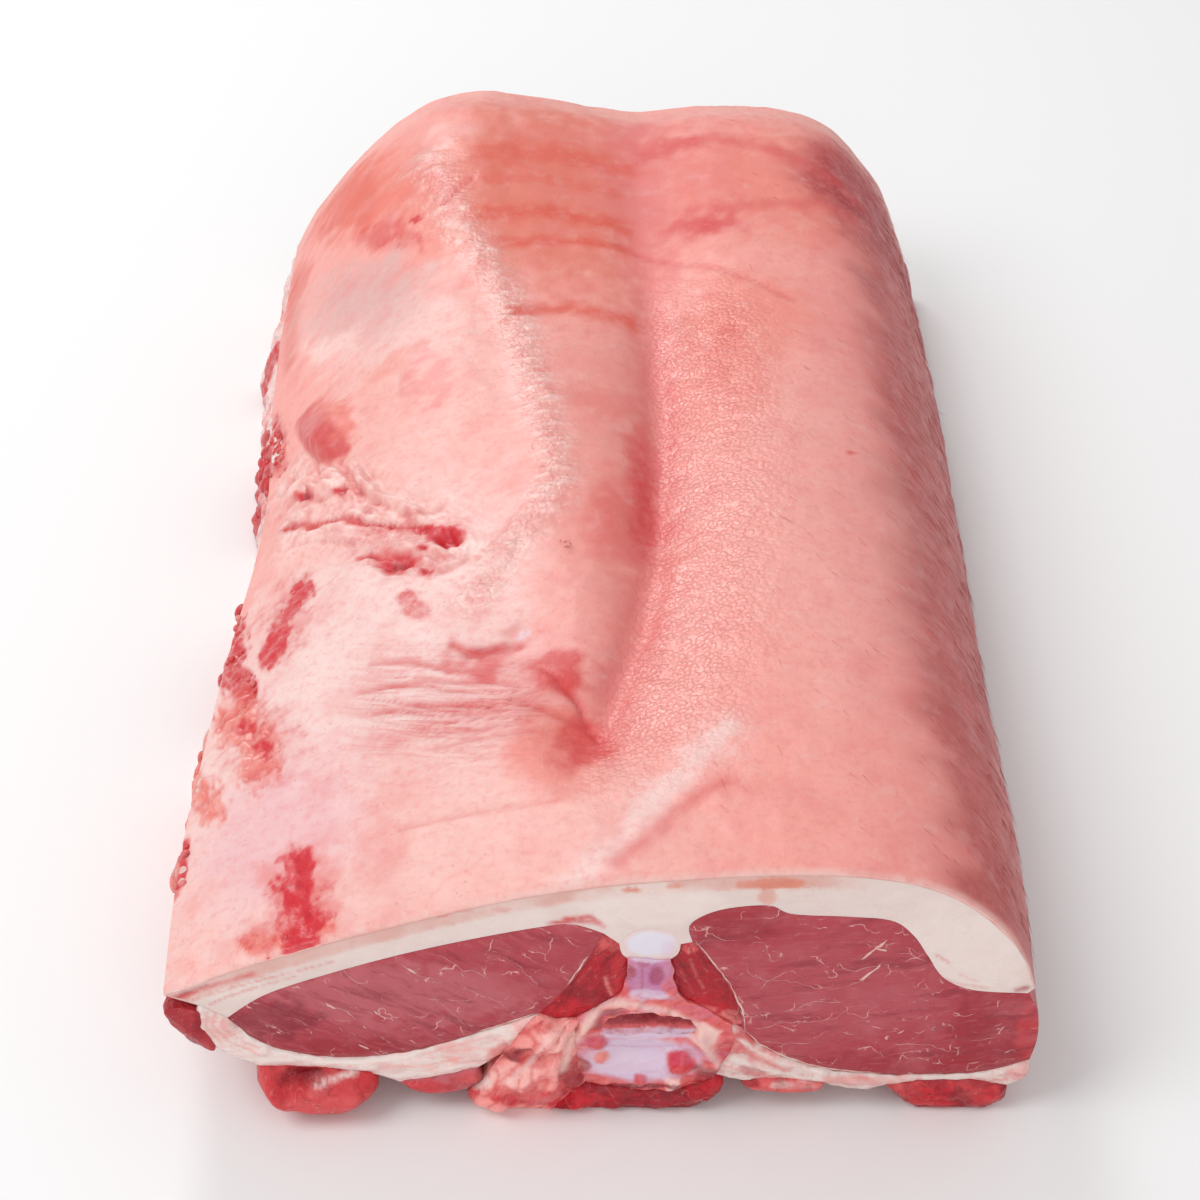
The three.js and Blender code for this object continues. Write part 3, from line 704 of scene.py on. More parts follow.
# x, y, half width, half length, strength: spilt blood and its spatter
bloodSpots = [
    (-96, 22, 11, 20, 0.42), (-97, 6, 14, 9, 0.5), (-114, 176, 14, 28, 0.4), (-118, 114, 12, 26, 0.42),
    (-116, 106, 5, 6, 0.8), (-124, 124, 4, 5, 0.7), (-64, 152, 6, 6, 0.5), (-108, 98, 10, 20, 0.36),
    (-80, 205, 28, 14, 0.36), (-66, 172, 12, 8, 0.4), (-56, 190, 8, 6, 0.8), (-74, 206, 12, 4, 0.5),
    (-67.7, 157.5, 4, 5, 0.6), (-84, 405, 12, 7, 0.4), (-76, 411, 3, 3, 0.8), (-128, 255, 10, 18, 0.3),
    (17, 205, 5, 34, 0.45),
]
# x, y, half width, half length, tone, strength, raggedness
skinPatches = [
    # the rose and mauve bands down the right side, and the mauve at the near right corner, are painted shade
    # that deepens towards the right edge; the rim band along the edge itself is a painted reflection of light
    (70, 240, 45, 240, "pink", 0.6, 0.4), (108, 230, 24, 420, "rose", 0.5, 0.2),
    (125, 230, 21, 420, "mauve", 0.9, 0.12), (147, 230, 10, 420, "rim", 0.75, 0.1),
    (132, 14, 14, 34, "mauve", 0.7, 0.3), (84, 180, 30, 120, "warmPale", 0.3, 0.5),
    (98, 40, 15, 44, "pink", 0.55, 0.4), (-88, 105, 72, 130, "pale", 0.95, 0.3),
    (-60, 60, 40, 30, "warmPale", 0.5, 0.5), (-104, 58, 27, 36, "coolPink", 0.9, 0.5),
    (-30, 20, 60, 40, "warmPale", 0.7, 0.3), (-72, 285, 55, 70, "warmPale", 0.75, 0.3),
    (2, 235, 22, 120, "bulge", 0.8, 0.3), (-20, 430, 55, 85, "apricot", 0.85, 0.5),
    # the small warmPale spot at -66, 470 is partly the paler tone of the skin there and partly a painted
    # highlight of the wet skin
    (-66, 470, 14, 16, "warmPale", 0.6, 0.5), (30, 440, 40, 60, "rose", 0.5, 0.5),
    (80, 440, 42, 50, "salmon", 0.6, 0.5), (41, 403, 16, 11, "flush", 0.9, 0.5),
    (111, 455, 26, 44, "darkMauve", 0.95, 0.2), (26, 477, 16, 7, "flush", 0.6, 0.8),
    (60, 330, 22, 30, "salmon", 0.5, 0.6), (45, 280, 18, 40, "salmon", 0.35, 0.6),
    (16, 210, 7, 42, "flush", 0.95, 0.3), (6, 190, 10, 26, "flush", 0.55, 0.5),
    (0, 262, 14, 10, "flush", 0.3, 0.8), (91, 233, 1.8, 1.8, "flush", 0.95, 0.3),
]
# x, y, half width, half height as seen from the front, tone, strength, raggedness
seenPatches = [
    (-102, 462, 30, 38, "salmon", 0.95, 0.5), (-112, 478, 18, 30, "stripe", 0.6, 0.8),
    (-90, 415, 14, 9, "flush", 0.6, 0.9), (-73.5, 397, 3, 4, "blood", 0.6, 0.4),
    (-132, 454, 4.5, 28, "stripe", 0.6, 0.5), (-90, 352, 40, 42, "pale", 0.5, 0.6),
    # the two hollow patches paint grey shade into the hollow on the left side
    (-97, 378, 30, 36, "hollow", 0.55, 0.5), (-97, 380, 17, 18, "hollow", 0.45, 0.6),
    (-112, 362, 13, 10, "torn", 0.6, 0.6), (-85, 313, 13, 8, "salmon", 0.4, 1.5),
    (-66.5, 290, 10, 17, "rose", 0.55, 1.5), (-27, 96.5, 32, 28, "rose", 0.3, 0.9),
    (-14.7, 68.6, 16, 20, "salmon", 0.65, 0.6), (-14.3, 100.5, 10, 9, "flush", 0.9, 0.9),
    (-5.5, 85.5, 7, 8, "flush", 0.75, 0.6), (-5, 78, 8, 9, "flush", 0.85, 0.7),
    (-13, 89, 9, 4, "salmon", 0.5, 0.4), (-41.4, 121, 10, 6, "flush", 0.75, 0.8),
    (-33.4, 136.8, 6, 5, "mauve", 0.35, 0.6), (-26.6, 129.6, 3.5, 3, "cartilage", 0.6, 0.5),
    (-94, 18, 12, 26, "rose", 0.6, 0.7), (-72, 35, 11, 18, "rose", 0.4, 0.8),
]
# line, half width, tone, strength
skinStreaks = [
    # the rose streak down the furrow is partly the red of the groove and partly painted shade in it; the pale
    # streak along the ridge is partly its pale tone and partly a painted highlight
    (furrowLine, 10, "rose", 0.75), (ridgeLine, 8, "warmPale", 0.7),
    ([(-45, 452), (-20, 459), (6, 455)], 9, "stripe", 0.7),
    ([(-48, 430), (-25, 436), (6, 432)], 5, "stripe", 0.5),
    ([(-48, 402), (-25, 408), (6, 404)], 6, "stripe", 0.85),
    ([(-40, 381), (-15, 386), (8, 386)], 4, "stripe", 0.9),
    ([(-32, 328), (-10, 332), (12, 329)], 5, "stripe", 0.85),
    ([(20, 468), (50, 477), (85, 463), (108, 450)], 5, "flush", 0.5),
    ([(38, 414), (75, 420), (105, 430)], 5, "flush", 0.45), ([(50, 316), (43, 283)], 6, "flush", 0.3),
    ([(-6, 1), (5, 17), (16, 34), (30, 52), (42, 68)], 7, "pale", 0.75),
    ([(6, 8), (17, 20), (29, 34), (40, 41)], 3.5, "flush", 0.55),
    ([(-138, 470), (-134, 420), (-131, 385)], 4, "stripe", 0.8),
    ([(-88, 216), (-79, 211), (-68, 204), (-56, 191)], 6, "flush", 0.7),
    ([(-93, 303), (-75, 313)], 4, "salmon", 0.4),
    ([(-46, 126.6), (-41, 125.4), (-33, 125.4)], 2.6, "redEye", 0.85),
]


def spaced(rows, low, high, count, stretch=1.0):    # places from low to high, closer where the rows say so
    at = np.linspace(low, high, skin["samples"])
    share = np.cumsum(along(rows, at) * stretch)
    return np.interp(np.linspace(share[0], share[-1], count), share, at)


def skinGrid():
    xs = np.linspace(-edge, edge, skin["samples"])
    rise = np.gradient((along(shownSkin, xs) + along(farSkin, xs)) / 2, xs)
    columns = spaced(skin["density"], -edge, edge, skin["columns"], np.hypot(1, rise))
    rows = spaced(skin["rowDensity"], 0, length, skin["rows"])
    rows = np.concatenate([skin["firstRows"], rows[1:]])
    return np.meshgrid(columns, rows)


def skinThickness(x, y):
    over = skin["thickOver"]
    away = smooth(y / over) * below(y, length, over) * below(np.abs(x), edge, over)
    thin = skin["edgeShare"] + (1 - skin["edgeShare"]) * below(np.abs(x), edge, skin["edgeOver"])
    return skin["rind"] * thin + (skin["inside"] - skin["rind"]) * away


# how the photo looks down on the loin
view = {
    "rise": 1.28,      # what is 1 mm higher looks this many mm of y further back
    "share": 0.617,    # mm up the picture for each mm of y
    "drop": 0.784,     # what stands 1 mm out of the cut looks this much lower on it
}


def seenHeight(x, y):    # how high a place of the skin looks from the front, in mm of y
    return y + view["rise"] * skinBase(x, y)[..., 2]


def seenReach(x, seen, spot):    # distance from a spot, in its half width and half height as seen
    middle = seenHeight(np.array(spot[0], float), np.array(spot[1], float))
    return np.hypot((x - spot[0]) / spot[2], (seen - middle) / spot[3])


# the muscle's height from 0 to 1, the distance from its middle in half sizes, the way in from its near edge
def muscleShape(x, seen):
    c, s = math.cos(math.radians(muscle["turn"])), math.sin(math.radians(muscle["turn"]))
    start = seenHeight(np.array(muscle["x"], float), np.array(muscle["y"], float))
    u, v = x - muscle["x"], view["share"] * (seen - start)
    way, inner = u * c + v * s, v * c - u * s
    depth = inner - muscle["steep"]
    depth = depth / np.where(depth < 0, muscle["steep"], muscle["soft"])
    reach = np.hypot((way - muscle["middle"]) / muscle["half"], depth)
    return below(reach, 1.05, 0.75), reach, inner


def rawAt(x, seen, line, width):
    ends = np.array(line, float)
    shown = list(zip(ends[:, 0], view["share"] * seenHeight(ends[:, 0], ends[:, 1])))
    level = view["share"] * seen
    reach = nearLine(x, level, shown)[0] / width + 0.4 * rough(flat(x, level), 8, 11)
    return smooth((1.2 - reach - 0.4 * rough(flat(x, level), 2.6, 12, 2)) / 0.8)


def tearFolds(x, y):    # from 0 in the valleys of the torn fat
    gap, side, way = nearLine(x, y, tear["line"])
    return np.abs(noise(flat(way / tear["foldLength"], side * gap / tear["foldWidth"]), 1, 41))


def foldLumps(x, y):    # where the fat is lumpy, and the lumps from 0 in their valleys
    where = bell(nearLine(x, y, folds["line"])[0] / folds["reach"])
    return where, np.abs(noise(flat(x, y), folds["size"], 43))


def holeReach(x, y, seen, hole):
    return seenReach(x, seen, hole) + 0.3 * noise(flat(x, y), 5, 51)


def wrinklesOf(x, off, size, seed):    # from 0 to 1 in thin lines
    return (1 - np.abs(noise(flat(x / size[0], off / size[1]), 1, seed))) ** 8


def skinMarks(x, y):    # how raw, torn, wrinkled, pebbled and wet the skin is, from 0 to 1
    spots = flat(x, y)
    seen = seenHeight(x, y)
    raws = [rawAt(x, seen, trail[0], trail[1]) for trail in rawTrails]
    raw = np.max(raws, axis=0)
    relief = np.max([found * trail[4] for found, trail in zip(raws, rawTrails)], axis=0)
    gap, side, way = nearLine(x, y, tear["line"])
    torn = bell(gap / tear["reach"]) * above(x, -134, 10)
    torn = np.maximum(torn, foldLumps(x, y)[0])
    gash = smooth((1.25 - gap / along(tear["widths"], way) + 0.5 * noise(spots, 4, 13)) / 0.9)
    blood = np.max([found * trail[5] for found, trail in zip(raws, rawTrails)], axis=0)
    blood = np.maximum(blood, gash * (0.55 + 0.4 * above(way, 70, 15)))
    for spot in bloodSpots:
        reach = seenReach(x, seen, spot) + 0.5 * rough(spots, 9, 14)
        blood = np.maximum(blood, spot[4] * np.clip((1.5 - reach) / 0.9, 0, 1))
    gap, side, way = nearLine(x, y, ridgeLine)
    ridge = bell(gap / detail["ridgeHalf"])
    crinkle = noise(flat(way / detail["crinkleStep"], side * gap / detail["crinkleAcross"]), 1, 21)
    beside = x - along(furrow, y, 1)
    pebble = above(beside, -6, 10) * below(beside, 62, 40) * below(y, 380, 60) * above(y, 25, 65)
    lower = below(y, 150, 60) * above(y, 15, 30) * bell((x + 25) / 50)
    pebble = np.clip(pebble + 0.6 * ridge + 0.12 * lower + 0.06, 0, 1)
    farLeft = bell(np.hypot((x + 70) / 40, (y - 450) / 50))
    bump = muscleShape(x, seen)[0]
    wet = 0.05 + 0.9 * ridge + 0.7 * pebble + 0.7 * farLeft
    wet = np.clip(wet + 0.8 * raw + 0.5 * torn + 0.3 * bump, 0, 1)
    # wrinkles that run to the pucker
    off = seen - seenHeight(np.array(fan["x"], float), np.array(fan["y"], float))
    off = off / (1.3 - 0.55 * above(x, -95, 90)) + 2 * noise(spots, 22, 33)
    fans = bell(off / fan["half"]) * above(x, -100, 34) * below(x, -8, 22)
    coarse = wrinklesOf(x, off, fan["coarse"], 31)
    wrinkle = fans * np.clip(coarse + 0.6 * wrinklesOf(x, off, fan["fine"], 32), 0, 1)
    rightSide = above(x, 98, 30)
    hair = above(beside, 15, 40) * 0.12 * smooth(y / 30) + rightSide * above(y, 4, 12)
    return {
        "seen": seen, "relief": relief, "torn": torn, "gash": gash, "blood": blood, "ridge": ridge,
        "crinkle": crinkle, "pebble": pebble, "wet": wet, "fan": fans, "wrinkle": wrinkle, "hair": hair,
        "speck": smooth(-x / 45) * below(y, 280, 60), "level": seen / 1000,
        "grains": sum(raws[k] for k in grainTrails),
        "tuft": bell(np.hypot(x - tuft["x"], y - tuft["y"]) / tuft["half"]),
    }


def skinDetail(x, y, marks):    # height in mm over the smooth skin
    spots = flat(x, y)
    height = detail["wave"] * rough(spots, detail["waveSize"], 1)
    height += detail["ripple"] * noise(spots, detail["rippleSize"], 4)
    groove = detail["groove"] * bell(nearLine(x, y, furrowLine)[0] / detail["grooveHalf"])
    height -= groove * above(y, 60, 40) * below(y, 400, 120)
    # the wet ridge of the left loin is finely wrinkled across
    crest = detail["ridge"] + detail["crinkle"] * marks["crinkle"]
    crest += detail["ridgeGrain"] * noise(spots, 3.4, 22)
    height += marks["ridge"] * crest
    height -= detail["wrinkle"] * marks["wrinkle"]
    # folds of torn fat, with rounded backs and sharp valleys along the tear
    fold = tear["fold"] * tearFolds(x, y) - tear["foldSink"]
    fold += tear["lump"] * np.abs(noise(spots, tear["lumpSize"], 42))
    height += marks["torn"] * (1 - marks["gash"]) * fold
    lumpy, lump = foldLumps(x, y)
    height += lumpy * (folds["height"] * lump - folds["sink"])
    height -= tear["depth"] * marks["gash"] * (0.5 + 1.6 * np.abs(noise(spots, 4, 44)))
    for line in strands:
        gap = nearLine(x, y, line)[0] + 1.2 * noise(spots, 6, 45)
        moat = detail["strandMoat"] * bell((gap - 2.8) / 1.2)
        height += bell(gap / detail["strandHalf"]) - moat
    for line, depth, width, red in creases:
        gap = nearLine(x, y, line)[0]
        height += depth * (0.15 * bell(gap / (3 * width)) - 1.1 * bell(gap / width))
    for hole in holes:
        reach = holeReach(x, y, marks["seen"], hole)
        height -= hole[4] * below(reach, 1.4, 1.0)
        height += 0.2 * hole[4] * bell((reach - 1.7) / 0.4)
    # muscle that bulges through
    high, reach, inner = muscleShape(x, marks["seen"])
    moat = muscle["moat"] * bell((reach - 1.12) / 0.14) * below(inner, 6, 6)
    height += muscle["height"] * high - moat
    # raw meat is sunk a little and granular
    grain = detail["rawLump"] * (0.55 - pebbles(spots, detail["rawSize"], 71))
    grain += detail["rawWave"] * np.abs(noise(spots, detail["rawWaveSize"], 72))
    height += marks["relief"] * (grain - detail["rawSink"])
    pebble = bell(pebbles(spots, detail["pebbleSize"], 81) / detail["pebbleHalf"])
    height += marks["pebble"] * detail["pebble"] * pebble
    height -= skin["edgeRound"] * (1 - smooth(y / skin["edgeRoundOver"])) ** 2
    return height * smooth((edge - np.abs(x)) / 3 + 0.35)


def skinColour(x, y, marks):
    spots = flat(x, y)
    wanderX = x + 6 * rough(spots, 26, 91)
    wanderY = y + 9 * rough(spots, 26, 95)
    ragged = rough(spots, 8, 97, 4)
    colour = np.zeros((*x.shape, 3)) + tone("pink")
    for cx, cy, across, run, name, strength, uneven in skinPatches:
        reach = np.hypot((wanderX - cx) / across, (wanderY - cy) / run) + uneven * 0.6 * ragged
        tint(colour, strength * below(reach, 1.45, 1.0), name)
    for line, width, name, strength in skinStreaks:
        gap = nearLine(x, y, line)[0] / width + 0.6 * ragged
        tint(colour, strength * bell(np.maximum(gap, 0)), name)
    for patch in seenPatches:
        reach = seenReach(wanderX, marks["seen"] + wanderY - y, patch) + patch[6] * 0.6 * ragged
        tint(colour, patch[5] * below(reach, 1.45, 1.0), patch[4])
    tint(colour, above(y, 497, 14) * 0.55, "warmPale")
    tint(colour, 0.9 * marks["torn"] * smooth(0.9 + ragged), "torn")
    lumpy, lump = foldLumps(x, y)
    tint(colour, 0.35 * lumpy * below(lump, 0.1, 0.1), "flush")
    tint(colour, 0.22 * marks["torn"] * below(tearFolds(x, y), 0.16, 0.16), "flush")
    tint(colour, 0.6 * marks["wrinkle"], "flush")
    tint(colour, 0.35 * marks["ridge"] * smooth(ragged + 0.3), "rose")
    # pale flecks on the crests of the ridge's crinkles are painted highlights
    tint(colour, 0.7 * marks["ridge"] * above(marks["crinkle"], 0.15, 0.25), "torn")
    for line, depth, width, red in creases:
        gap = nearLine(x, y, line)[0] / (width * 1.3) + 0.3 * ragged
        tint(colour, red * bell(np.maximum(gap, 0)), "flush")
    tint(colour, 0.6 * marks["gash"], "flush")
    tint(colour, 0.4 * smooth(marks["blood"] * 1.3), "flush")
    for hole in holes:
        reach = holeReach(x, y, marks["seen"], hole)
        tint(colour, 0.6 * below(reach, 1.7, 0.6), "flush")
        tint(colour, 0.95 * below(reach, 1.25, 0.4), "blood")
        tint(colour, 0.6 * below(reach, 0.75, 0.5), "deepRed")
    reach, inner = muscleShape(x, marks["seen"])[1:]
    red = below(reach, 1.04 + 0.16 * ragged * smooth(inner / 10), 0.3)
    tint(colour, 0.9 * red, "salmon")
    # towards its lower edge the muscle is painted a deeper red, partly its own colour and partly painted
    # shade, and the dark flush line along that edge is a painted shadow
    tint(colour, 0.95 * red * below(inner, 24 + 6 * ragged, 14), "muscle")
    tint(colour, 0.4 * red * below(inner, 9, 9), "flush")
    tint(colour, 0.8 * bell((reach - 0.97) / 0.1) * below(inner, 6, 6), "flush")
    # the pale beads over the muscle's upper part are painted highlights
    beads = bell(pebbles(spots, detail["pebbleSize"], 83) / 0.3)
    tint(colour, 0.4 * red * above(inner, 16, 6) * beads, "torn")
    lumps = pebbles(spots, detail["rawSize"], 71)
    for line, width, name, strength, relief, blood in rawTrails:
        raw = rawAt(x, marks["seen"], line, width)
        tint(colour, raw * strength, name)
        tint(colour, raw * relief * above(lumps, 0.5, 0.3) * 0.5, "flush")
        tint(colour, raw * relief * below(lumps, 0.35, 0.3) * 0.35, "paleTrim")
    tint(colour, 0.75 * (1 - smooth(y / 2.5)), "rindTop")
    return colour


def makeSkin():
    x, y = skinGrid()
    base = skinBase(x, y)
    outwards = np.cross(np.gradient(base, axis=1), np.gradient(base, axis=0))
    outwards /= np.linalg.norm(outwards, axis=-1, keepdims=True)
    marks = skinMarks(x, y)
    top = base + outwards * skinDetail(x, y, marks)[..., None]
    under = base - outwards * skinThickness(x, y)[..., None]
    rows, columns = x.shape
    index = np.arange(rows * columns).reshape(rows, columns)
    quads = np.stack([index[:-1, :-1], index[:-1, 1:], index[1:, 1:], index[1:, :-1]], -1).reshape(-1, 4)
    loop = np.concatenate([index[0], index[1:, -1], index[-1, -2::-1], index[-2:0:-1, 0]])
    points = [top.reshape(-1, 3)]
    colours = [skinColour(x, y, marks).reshape(-1, 3)]
    faces = quads.tolist()
    upper = loop
    count = rows * columns
    topEdge, underEdge = points[0][loop], under.reshape(-1, 3)[loop]
    for k in range(1, skin["wallRows"] + 1):    # the cut edge of the rind
        share = k / skin["wallRows"]
        wall = topEdge + (underEdge - topEdge) * share
        bulge = skin["wallBulge"] * math.sin(math.pi * share)
        wall[:, 1] += np.where(wall[:, 1] < length / 2, -bulge, bulge)
        paint = np.zeros((len(loop), 3)) + tone("rindTop")
        tint(paint, smooth(share + 0.3 * noise(wall, 7, 95)), "rind")
        points.append(wall)
        colours.append(paint)
        lower = count + np.arange(len(loop))
        faces += np.stack([upper, lower, np.roll(lower, -1), np.roll(upper, -1)], -1).tolist()
        upper = lower
        count += len(loop)
    step = skin["underStep"]
    inner = index[step:-step:step, step:-step:step].ravel()
    spots = [(int(k % columns), int(k // columns)) for k in np.concatenate([loop, inner])]
    found = geometry.delaunay_2d_cdt(spots, [], [], 0, 0.001)
    points.append(under.reshape(-1, 3)[inner])
    colours.append(np.zeros((len(inner), 3)) + tone("fat"))
    names = np.concatenate([upper, count + np.arange(len(inner))])
    origin = [k[0] for k in found[3]]
    faces += [[int(names[origin[k]]) for k in face] for face in found[2]]
    unmarked = np.zeros(sum(len(p) for p in points) - rows * columns)
    kept = ("pebble", "wet", "speck", "level", "grains", "hair", "tuft", "fan", "torn", "ridge", "blood")
    marks = {key: np.concatenate([marks[key].ravel(), unmarked]) for key in kept}
    return makePiece(
        "skin", np.concatenate(points), faces, finishes["skin"], np.concatenate(colours), marks,
        "back_fat_and_skin", skin["sharpAt"],
    )


skinPiece = makeSkin()
print("skin made:", len(skinPiece.data.polygons), "faces")

# The tissues under the skin
cut = {
    "seamStep": 1.5,       # facet along a seam
    "overlap": 0.3,        # each tissue presses this far into its neighbours
    "stations": 14,
    "roughStations": 120,  # where the side shows
    "endFade": 7,
    "capStep": 1.1,
    "farCapStep": 1.6,
    "jitter": 0.3,         # of the cap's points, in steps
    "rimGap": 0.55,
    "lumpFade": 2.5,       # lumps and crags end this near to the outline
    "cragFade": 1.5,
    "skinPress": 0.1,      # the fat presses this far into the skin
}
# the rind's band in the cut fat: its depth, and the stained line along it
rindBand = {"depth": 8.4, "over": 2.2, "lineAt": 7.6, "lineHalf": 0.6, "fade": 22}


def curveSpan(a, b, c, d, t):    # one span of a smooth line through its points
    start = 2 * b + (c - a) * t
    return (start + (2 * a - 5 * b + 4 * c - d) * t ** 2 + (3 * b - a - 3 * c + d) * t ** 3) / 2


def evenPoints(line, pieces):
    way = np.concatenate([[0], np.cumsum(np.linalg.norm(np.diff(line, axis=0), axis=1))])
    pieces = pieces or max(2, round(way[-1] / cut["seamStep"]))
    at = np.linspace(0, way[-1], pieces + 1)
    return np.stack([np.interp(at, way, line[:, 0]), np.interp(at, way, line[:, 1])], -1)


def seamPoints(name):    # one seam as evenly spaced points, without its last
    knots = np.array(seams[name.lstrip("-")], float)
    padded = np.concatenate([knots[:1], knots, knots[-1:]])
    t = np.linspace(0, 1, 25)[1:, None]
    spans = [curveSpan(*four, t) for four in zip(padded, padded[1:], padded[2:], padded[3:])]
    even = evenPoints(np.concatenate([knots[:1], *spans]), 0)
    return (even[::-1] if name.startswith("-") else even)[:-1]


def closedCurve(knots, count):
    knots = np.array(knots, float)
    t = np.linspace(0, 1, 20, endpoint=False)[:, None]
    total = len(knots)
    spans = [curveSpan(*(knots[(k + j - 1) % total] for j in range(4)), t) for k in range(total)]
    return evenPoints(np.concatenate([*spans, knots[:1]]), count)[:-1]


def turnedLeft(outline):    # the ring walked so that its inside is on the left
    x, z = outline.T
    area = np.sum(x * np.roll(z, -1) - np.roll(x, -1) * z)
    return outline if area > 0 else outline[::-1]


def inwards(outline):
    run = np.roll(outline, -1, 0) - np.roll(outline, 1, 0)
    run /= np.maximum(np.linalg.norm(run, axis=1, keepdims=True), 1e-6)
    return np.stack([-run[:, 1], run[:, 0]], -1)


def outlineOf(settings, seed):
    outline = turnedLeft(np.concatenate([seamPoints(name) for name in settings["ring"]]))
    wobble = settings.get("wobble", 0) * noise(flat(*outline.T), 4, seed)
    moved = outline - inwards(outline) * (cut["overlap"] + wobble)[:, None]
    moved[:, 1] = np.where(outline[:, 1] < 0.8, 0, np.maximum(moved[:, 1], 0))
    return moved


def insideOf(spots, outline):
    inside = np.zeros(len(spots), bool)
    x, z = spots.T
    for (ax, az), (bx, bz) in zip(outline, np.roll(outline, -1, 0)):
        if az != bz:
            crossing = (bx - ax) * (z - az) / (bz - az) + ax
            inside ^= ((az > z) != (bz > z)) & (x < crossing)
    return inside


def edgeGap(spots, outline):    # distance from each spot to the outline
    closed = np.concatenate([outline, outline[:1]])
    return nearLine(spots[:, 0], spots[:, 1], [tuple(p) for p in closed])[0]


def capOf(outline, hole, step, seed):    # triangles over an outline, with jittered points inside
    low, high = outline.min(0), outline.max(0)
    gx, gz = np.meshgrid(np.arange(low[0], high[0], step), np.arange(low[1], high[1], step * 0.87))
    gx[1::2] += step / 2
    most = cut["jitter"]
    jitter = np.random.default_rng(seed).uniform(-most, most, (2, *gx.shape)) * step
    spots = np.stack([gx + jitter[0], gz + jitter[1]], -1).reshape(-1, 2)
    spots = spots[insideOf(spots, outline)]
    rims = [outline]
    if hole is not None:
        rims.append(hole)
        spots = spots[~insideOf(spots, hole)]
    gap = np.min([edgeGap(spots, rim) for rim in rims], axis=0)
    clear = gap > step * cut["rimGap"]
    spots, gap = spots[clear], gap[clear]
    every = np.concatenate([*rims, spots])
    borders, start = [], 0
    for rim in rims:
        borders += [(start + k, start + (k + 1) % len(rim)) for k in range(len(rim))]
        start += len(rim)
    found = geometry.delaunay_2d_cdt([tuple(p) for p in every.tolist()], borders, [], 0, 1e-5)
    origin = [k[0] for k in found[3]]
    faces = np.array([[origin[k] for k in face] for face in found[2]])
    middle = every[faces].mean(1)
    kept = insideOf(middle, outline)
    if hole is not None:
        kept &= ~insideOf(middle, hole)
    return spots, gap, faces[kept]


def cragsAt(points, settings, seed):    # height, size, valley tone, tint, turn and stretch of the crags
    high, size, name, strength, turn, stretch = settings.get("crag", (0, 8, "fat", 0, 0, 1))
    c, s = math.cos(math.radians(turn)), math.sin(math.radians(turn))
    x, y, z = points.T
    drawn = np.stack([(x * c + z * s) / stretch, y * 0.4, z * c - x * s], -1)
    crags = np.abs(noise(drawn, size, seed))
    calm = np.ones(len(points))
    mapX, mapZ = onMap(points)
    for cx, cz, across, tall in settings.get("calm", []):
        calm *= 1 - smooth((1.3 - np.hypot((mapX - cx) / across, (mapZ - cz) / tall)) / 0.4)
    return high * (crags - 0.25) * calm, below(crags, 0.14, 0.14) * calm


def cutColour(points, settings, valleys, seed):    # patches on the cut that run the whole length
    x, z = onMap(points)
    y = points[:, 1]
    z = z + view["drop"] * y * below(y, 12, 6)
    ragged = rough(points, 6, seed, 3)
    colour = np.zeros((len(points), 3)) + tone(settings["tone"])
    if "rindTo" in settings:
        depth = along(shownSkin, x) - z + 0.8 * ragged
        shown = below(x, settings["rindTo"], rindBand["fade"])
        tint(colour, below(depth, rindBand["depth"], rindBand["over"]) * shown, "rind")
        line = bell((depth - rindBand["lineAt"]) / rindBand["lineHalf"])
        tint(colour, line * smooth(ragged * 2) * 0.5 * shown, "stain")
    for cx, cz, across, high, name, strength, uneven in settings["patches"]:
        reach = np.hypot((x - cx) / across, (z - cz) / high) + uneven * 0.7 * ragged
        tint(colour, strength * below(reach, 1.3, 0.5), name)
    if "crag" in settings:
        tint(colour, valleys * settings["crag"][3], settings["crag"][2])
    for line, width, name, strength in settings.get("streaks", []):
        gap = nearLine(x, z, line)[0] / width + 0.4 * ragged
        tint(colour, strength * bell(np.maximum(gap, 0)), name)
    return colour


